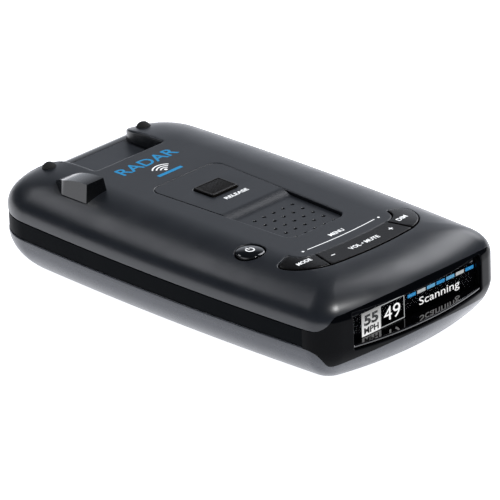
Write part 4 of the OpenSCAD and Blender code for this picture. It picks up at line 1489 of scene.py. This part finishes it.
@dataclass
class Marks:
    """Printed words and signs. They lie on the surface under them and say only what a control does."""

    drape: Drape
    ink: float = 0.012
    dome: Dome = Dome()

    def lay(self, piece: Object, x: float, y: float, lift: float = 0.0, turn: float = 0.0) -> Object:
        """Lays a flat piece on the crown.

        Args:
            piece: the piece, drawn about the origin in the XY plane.
            x: where its middle goes.
            y: where its middle goes.
            lift: how far the surface under it stands above the crown.
            turn: its turn in degrees.

        Returns:
            The piece.
        """
        spin = Matrix.Rotation(math.radians(turn), 4, "Z")
        piece.data.transform(Matrix.Translation((x, y, 0)) @ spin)
        for vertex in piece.data.vertices:
            vertex.co.z += self.drape.height(vertex.co.x, vertex.co.y) + lift + self.ink / 2
        return piece

    def word(self, words: str, fit: Pair, x: float, y: float, lift: float = 0.0, turn: float = 0.0,
             weight: float = 0.1) -> Object:
        """Returns a printed word, laid on the crown."""
        return self.lay(Bench.lettering(words, fit, weight, self.ink), x, y, lift, turn)

    def stroke(self, points: Sequence[Pair], width: float) -> Object:
        """Returns a printed line of even width through points, about the origin."""
        sides: list[list[Pair]] = [[], []]
        for i, (x, y) in enumerate(points):
            x0, y0 = points[max(0, i - 1)]
            x1, y1 = points[min(len(points) - 1, i + 1)]
            length = math.hypot(x1 - x0, y1 - y0)
            nx, ny = -(y1 - y0) / length * width / 2, (x1 - x0) / length * width / 2
            sides[0].append((x + nx, y + ny))
            sides[1].append((x - nx, y - ny))
        n = len(points)
        rings = [[(*sides[0][i], 0), (*sides[0][i], self.ink), (*sides[1][i], self.ink), (*sides[1][i], 0)]
                 for i in range(n)]
        return Bench.loft("stroke", rings)

    def dot(self, radius: float) -> Object:
        """Returns a printed dot about the origin."""
        return Bench.prism("dot", circle((0, 0), radius, 20)(0), 0, self.ink)

    def row(self) -> None:
        """Prints the menu line over the keys, with its dots."""
        line = arc((0, 105.0), 141.9, 270 - 5.05, 270 + 5.05, 30)
        pieces = [self.lay(self.stroke(line, 0.3), 0, 0)]
        pieces += [self.lay(self.dot(0.36), x, -36.35) for x in (-14.1, 14.1)]
        pieces.append(self.word("MENU", (5.2, 1.5), 0.2, -34.5))
        Bench.finish(Bench.join(pieces), "menu_line", Body.CASE, "key_black", WHITE_INK_PAINTED_GLOW, crisp=False)

    def keys(self) -> None:
        """Prints the keys' own words and signs."""
        lift = KEY_PROUD
        marks = {
            "sensitivity_mark": (Body.SENSITIVITY, [self.word("MODE", (4.6, 1.5), -18.6, -41.1, lift, -6)]),
            "brightness_mark": (Body.BRIGHTNESS, [self.word("DIM", (3.8, 1.5), 17.6, -41.4, lift, 8)]),
            "volume_mark": (Body.VOLUME, [
                self.word("VOL • MUTE", (10.8, 1.55), 0.1, -44.6, lift),
                self.lay(self.stroke([(-0.65, 0), (0.65, 0)], 0.36), -10.7, -43.9, lift, -5),
                self.lay(self.stroke([(-0.7, 0), (0.7, 0)], 0.34), 10.8, -43.9, lift, 5),
                self.lay(self.stroke([(0, -0.7), (0, 0.7)], 0.34), 10.8, -43.9, lift + 0.004, 5)]),
        }
        for name, (body, pieces) in marks.items():
            Bench.finish(Bench.join(pieces), name, body, "key_black", WHITE_INK_PAINTED_GLOW, crisp=False)

    def power(self) -> None:
        """Prints the power sign on the power key's dome."""
        middle = plan_middle("power_button")
        ring = self.stroke(arc((0, 0), 1.1, 122, 418, 30), 0.38)
        bar = self.stroke([(0, 0.2), (0, 1.6)], 0.36)
        sign = Bench.join([ring, bar])
        for vertex in sign.data.vertices:
            vertex.co.z += self.dome.height(math.hypot(vertex.co.x, vertex.co.y)) + self.ink / 2
            vertex.co.x += middle[0]
            vertex.co.y += middle[1]
        Bench.finish(sign, "power_mark", Body.POWER, "key_black", WHITE_INK_PAINTED_GLOW, crisp=False)

    def title(self) -> None:
        """Prints the kind of instrument in blue, with a wave sign and a bar under it."""
        blue = [self.word("RADAR", (20.6, 4.2), 0.2, 35.6, weight=0.05)]
        blue.append(self.lay(self.stroke([(-4.4, 0), (4.4, 0)], 1.2), -0.2, 26.4))
        Bench.finish(Bench.join(blue), "title_blue", Body.CASE, "top_shell", BLUE_INK_PAINTED_GLOW, crisp=False)
        waves = [self.lay(self.stroke(arc((0, 0), r, 40, 140, 20), 0.42), 0.0, 27.7) for r in (1.7, 2.8, 3.9)]
        waves.append(self.lay(self.dot(0.5), 0.0, 28.2))
        Bench.finish(Bench.join(waves), "title_waves", Body.CASE, "top_shell", WHITE_INK_PAINTED_GLOW, crisp=False)

    def release(self) -> None:
        """Prints what the release key does beside it."""
        word = self.word("RELEASE", (8.3, 1.45), 0.9, 2.75)
        Bench.finish(word, "release_mark", Body.CASE, "top_shell", WHITE_INK_PAINTED_GLOW, crisp=False)

    def build(self) -> None:
        """Prints every mark."""
        self.row()
        self.keys()
        self.power()
        self.title()
        self.release()


# ---------- sockets, screws and parts kept as designed ----------


@dataclass
class Hardware:
    """Contacts in the sockets and the case screws."""

    screw_head_r: float = 2.3
    screw_head_h: float = 1.65
    screw_r: float = 1.2
    cross: Pair = (2.9, 0.5)

    def screws(self, places: Sequence[Pair]) -> None:
        """Builds the case screws, head down, each with a cross recess and a rolled edge."""
        low, high = node_box("case_screws")
        neck = low.z + self.screw_head_h
        screws = []
        for place in places:
            profile = [(0.9, low.z), (1.6, low.z + 0.06), (2.05, low.z + 0.25),
                       (self.screw_head_r, low.z + 0.6), (self.screw_head_r, neck), (self.screw_r, neck)]
            turns = int((high.z - neck - 1.6) / 0.8)
            for i in range(turns):
                z = neck + 0.4 + i * 0.8
                profile += [(self.screw_r - 0.22, z), (self.screw_r, z + 0.4)]
            screw = Bench.turned("screw", profile + [(0.25, high.z)], place, 32)
            length, width = self.cross[0] / 2, self.cross[1] / 2
            for half in ((length, width), (width, length)):
                cross = rounded_box(half, place, width * 0.8, 3)
                Bench.combine(screw, Join.CUT, Bench.prism("slot", cross(0), low.z - 1, low.z + 1.1))
            screws.append(screw)
        Bench.finish(Bench.join(screws), "case_screw_set", Body.CASE, "screw_steel", SCREW_STEEL,
                     ["case_screws"])

    def power_contacts(self) -> None:
        """Builds the sprung wires in the power socket, which slant down from its roof."""
        high = node_box("power_jack")[1]
        middle = plan_middle("power_jack")[1]
        side = [(23.4, high.z - 0.5), (30.6, high.z - 0.5), (30.9, high.z - 0.8), (30.5, high.z - 1.1),
                (24.2, high.z - 3.4), (23.8, high.z - 3.2), (29.2, high.z - 1.0), (23.4, high.z - 0.9)]
        wires = []
        for i in range(4):
            y = middle + (i - 1.5) * 1.27
            wires.append(Bench.beam("wire", "Y", side, (y - 0.18, y + 0.18)))
        Bench.finish(Bench.join(wires), "power_contacts", Body.CASE, "plated_metal", GOLD)

    def usb_tongue(self) -> None:
        """Builds the tongue in the service socket and its five contacts."""
        low, high = node_box("usb_socket")
        y, z = plan_middle("usb_socket")[1], (low.z + high.z) / 2
        tongue = Bench.block("tongue", (26.35, 32.6), (y - 2.6, y + 2.6), (z - 0.1, z + 0.55))
        Bench.soften(tongue, 0.12, 2)
        Bench.finish(tongue, "usb_tongue", Body.CASE, "socket_black", SOCKET_BLACK)
        strips = [Bench.soften(Bench.block("strip", (27.0, 32.2), (y + k * 0.8 - 0.2, y + k * 0.8 + 0.2),
                                           (z - 0.2, z - 0.05)), 0.04, 1) for k in range(-2, 3)]
        Bench.finish(Bench.join(strips), "usb_contacts", Body.CASE, "plated_metal", GOLD)

    def earphone_ring(self) -> None:
        """Builds the thin plated ring at the mouth of the earphone socket."""
        high = node_box("earphone_jack")[1]
        rings = []
        for radius, x in ((1.83, -0.6), (1.83, 0.12), (1.9, 0.2), (2.02, 0.2), (2.08, 0.12), (2.08, 0.0)):
            rings.append(level(arc((0, 0), radius, 0, 360, 48)[:-1], x))
        rings.append(level(arc((0, 0), 1.86, 0, 360, 48)[:-1], 0.0))
        ring = Bench.loft("ring", rings, closed=True)
        place = Matrix.Translation((high.x + 0.02, plan_middle("earphone_jack")[1], EARPHONE_Z))
        ring.data.transform(place @ quarter_turn("Y"))
        Bench.finish(ring, "earphone_ring", Body.CASE, "plated_metal", TIN)

    def build(self, places: Sequence[Pair]) -> None:
        """Builds the screws and the contacts."""
        self.screws(places)
        self.power_contacts()
        self.usb_tongue()
        self.earphone_ring()


@dataclass
class CarriedParts:
    """Parts whose shape is kept as designed and that only get their material."""

    finishes: dict[str, Finish] = field(default_factory=lambda: {
        "board_link": SOCKET_BLACK, "board_screws": STEEL, "display_carrier": INNER, "display_flex": FLEX,
        "display_panel": DARK_GLASS, "display_window": GLASS,
        "earphone_jack": SOCKET_BLACK, "horn_screws": STEEL, "key_board": BOARD, "key_board_screws": STEEL,
        "key_switches": EPOXY, "label_plate": FOIL, "latch_pin": STEEL, "main_circuit_board": BOARD,
        "memory_chips": EPOXY, "microwave_board": BOARD, "mount_guide": SLOT_GREY, "mute_plunger": INNER,
        "power_inductor": FERRITE, "power_jack": SOCKET_BLACK, "processor_chip": EPOXY, "radar_horn": CAST,
        "rear_laser_sensor": BOARD, "release_frame": INNER, "release_latch": STEEL,
        "release_spring": SPRING_STEEL, "shield_can": TIN, "speaker_cloth": CLOTH, "speaker_cone": PAPER,
        "speaker_frame": STEEL, "speaker_magnet": FERRITE, "storage_capacitor": SLEEVE, "usb_socket": TIN,
        "windshield_laser_sensor": BOARD, "wireless_module": TIN,
    })

    def build(self) -> None:
        """Gives each part its material."""
        for name, finish in self.finishes.items():
            part = bpy.data.objects[name]
            part.data.materials.clear()
            part.data.materials.append(finish.material())
            LOG.info("%s: %s", name, finish.name)


# ---------- studio ----------


@dataclass(frozen=True)
class SoftBox:
    """One soft light: where it stands from the object, how far, how large and how strong."""

    towards: tuple[float, float, float]
    distance: float
    size: Pair
    power: float
    colour: str = "#ffffff"


@dataclass(frozen=True)
class Studio:
    """A pale floor, soft light from behind and above, and a long lens."""

    azimuth: float = -44.484
    elevation: float = 24.46
    roll: float = -2.179
    distance: float = 1.9354
    lens: float = 528.84
    aim_z: float = 14.0
    shift: Pair = (1.795, -1.535)
    ceiling: str = "#3e434b"
    backdrop: str = "#f0f5ff"
    backdrop_towards: tuple[float, float, float] = (0.76, 0.65, 0.0)
    backdrop_edge: Pair = (0.82, 1.0)
    lights: tuple[SoftBox, ...] = (
        SoftBox((-0.15, 0.66, 0.74), 0.8, (0.5, 0.16), 0.85, "#f8f9ff"),
        SoftBox((0.13, -0.48, 0.84), 0.9, (0.12, 0.12), 4.5),
        SoftBox((0.72, 0.1, 0.69), 0.8, (0.32, 0.26), 1.5, "#f9faff"),
        SoftBox((0.9, 0.2, 0.4), 0.8, (0.3, 0.2), 0.9, "#f9faff"),
    )

    def camera(self) -> None:
        """Sets up the camera."""
        az, el, roll = (math.radians(v) for v in (self.azimuth, self.elevation, self.roll))
        back = Vector((math.sin(az) * math.cos(el), -math.cos(az) * math.cos(el), math.sin(el)))
        right = Vector((math.cos(az), math.sin(az), 0))
        up = back.cross(right)
        right, up = right * math.cos(roll) + up * math.sin(roll), up * math.cos(roll) - right * math.sin(roll)
        aim = Vector((0, 0, self.aim_z * MM)) + (right * self.shift[0] + up * self.shift[1]) * MM
        data = bpy.data.cameras.new("camera")
        data.lens = self.lens
        data.clip_start, data.clip_end = 0.1, 50.0
        camera = bpy.data.objects.new("camera", data)
        bpy.context.scene.collection.objects.link(camera)
        turn = Matrix((right, up, back)).transposed().to_4x4()
        camera.matrix_world = Matrix.Translation(aim + back * self.distance) @ turn
        bpy.context.scene.camera = camera

    def floor(self) -> None:
        """Lays the floor."""
        Bench.clear()
        bpy.ops.mesh.primitive_plane_add(size=12, location=(0, 0, -0.0002))
        floor = bpy.context.active_object
        floor.name = "floor"
        floor.data.materials.append(Ink("white_paper_floor", "#fafbff", roughness=0.9, glow=1.2).material())

    def world(self) -> None:
        """Sets the surroundings: a dark ceiling and a pale backdrop behind the right side."""
        world = bpy.data.worlds.new("studio")
        world.use_nodes = True
        tree = world.node_tree
        tree.nodes.clear()
        place = add_node(tree, "ShaderNodeTexCoord").outputs["Generated"]
        towards = add_node(tree, "ShaderNodeVectorMath", {
            0: place, 1: Vector(self.backdrop_towards).normalized()}, operation="DOT_PRODUCT")
        ramp = add_node(tree, "ShaderNodeMapRange", {
            "Value": towards.outputs["Value"], "From Min": self.backdrop_edge[0],
            "From Max": self.backdrop_edge[1]}, interpolation_type="SMOOTHSTEP")
        tint = add_node(tree, "ShaderNodeMix", {
            0: ramp.outputs[0], 6: linear(self.ceiling), 7: linear(self.backdrop)}, data_type="RGBA")
        sky = add_node(tree, "ShaderNodeBackground", {"Color": tint.outputs[2], "Strength": 1.0})
        add_node(tree, "ShaderNodeOutputWorld", {"Surface": sky.outputs[0]})
        bpy.context.scene.world = world

    def light(self) -> None:
        """Hangs the lights."""
        for i, box in enumerate(self.lights):
            data = bpy.data.lights.new(f"softbox_{i + 1}", "AREA")
            data.shape = "RECTANGLE"
            data.size, data.size_y = box.size
            data.energy = box.power
            data.color = linear(box.colour)[:3]
            lamp = bpy.data.objects.new(data.name, data)
            bpy.context.scene.collection.objects.link(lamp)
            towards = Vector(box.towards).normalized()
            turn = towards.to_track_quat("Z", "Y").to_matrix().to_4x4()
            lamp.matrix_world = Matrix.Translation(towards * box.distance) @ turn

    def build(self) -> None:
        """Sets up the whole studio."""
        self.camera()
        self.floor()
        self.world()
        self.light()
        bpy.context.scene.view_settings.view_transform = "Standard"


def main() -> None:
    """Builds every piece in order, then the studio."""
    logging.basicConfig(level=logging.INFO, format="%(message)s")
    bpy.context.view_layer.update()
    low, high = node_box("bottom_housing")
    form = CaseForm(high.x - low.x)
    zones, slot, insert = EndZones(form), SlotForm(), InsertForm()
    crown = form.crown_solid()
    drape = Drape(crown, form.band_high)
    whole = form.solid()
    face = Drape(whole, 60.0)
    for solid in (crown, whole):
        bpy.data.objects.remove(solid, do_unlink=True)
    shells = Shells(form, zones, slot, insert, drape)
    shells.build()
    DisplayEnd(form, zones, face).build()
    TopControls(form, insert, drape).build()
    WindshieldEnd().build()
    Marks(drape).build()
    Hardware().build(shells.screw_places)
    CarriedParts().build()
    Studio().build()


if __name__ == "__main__":
    main()
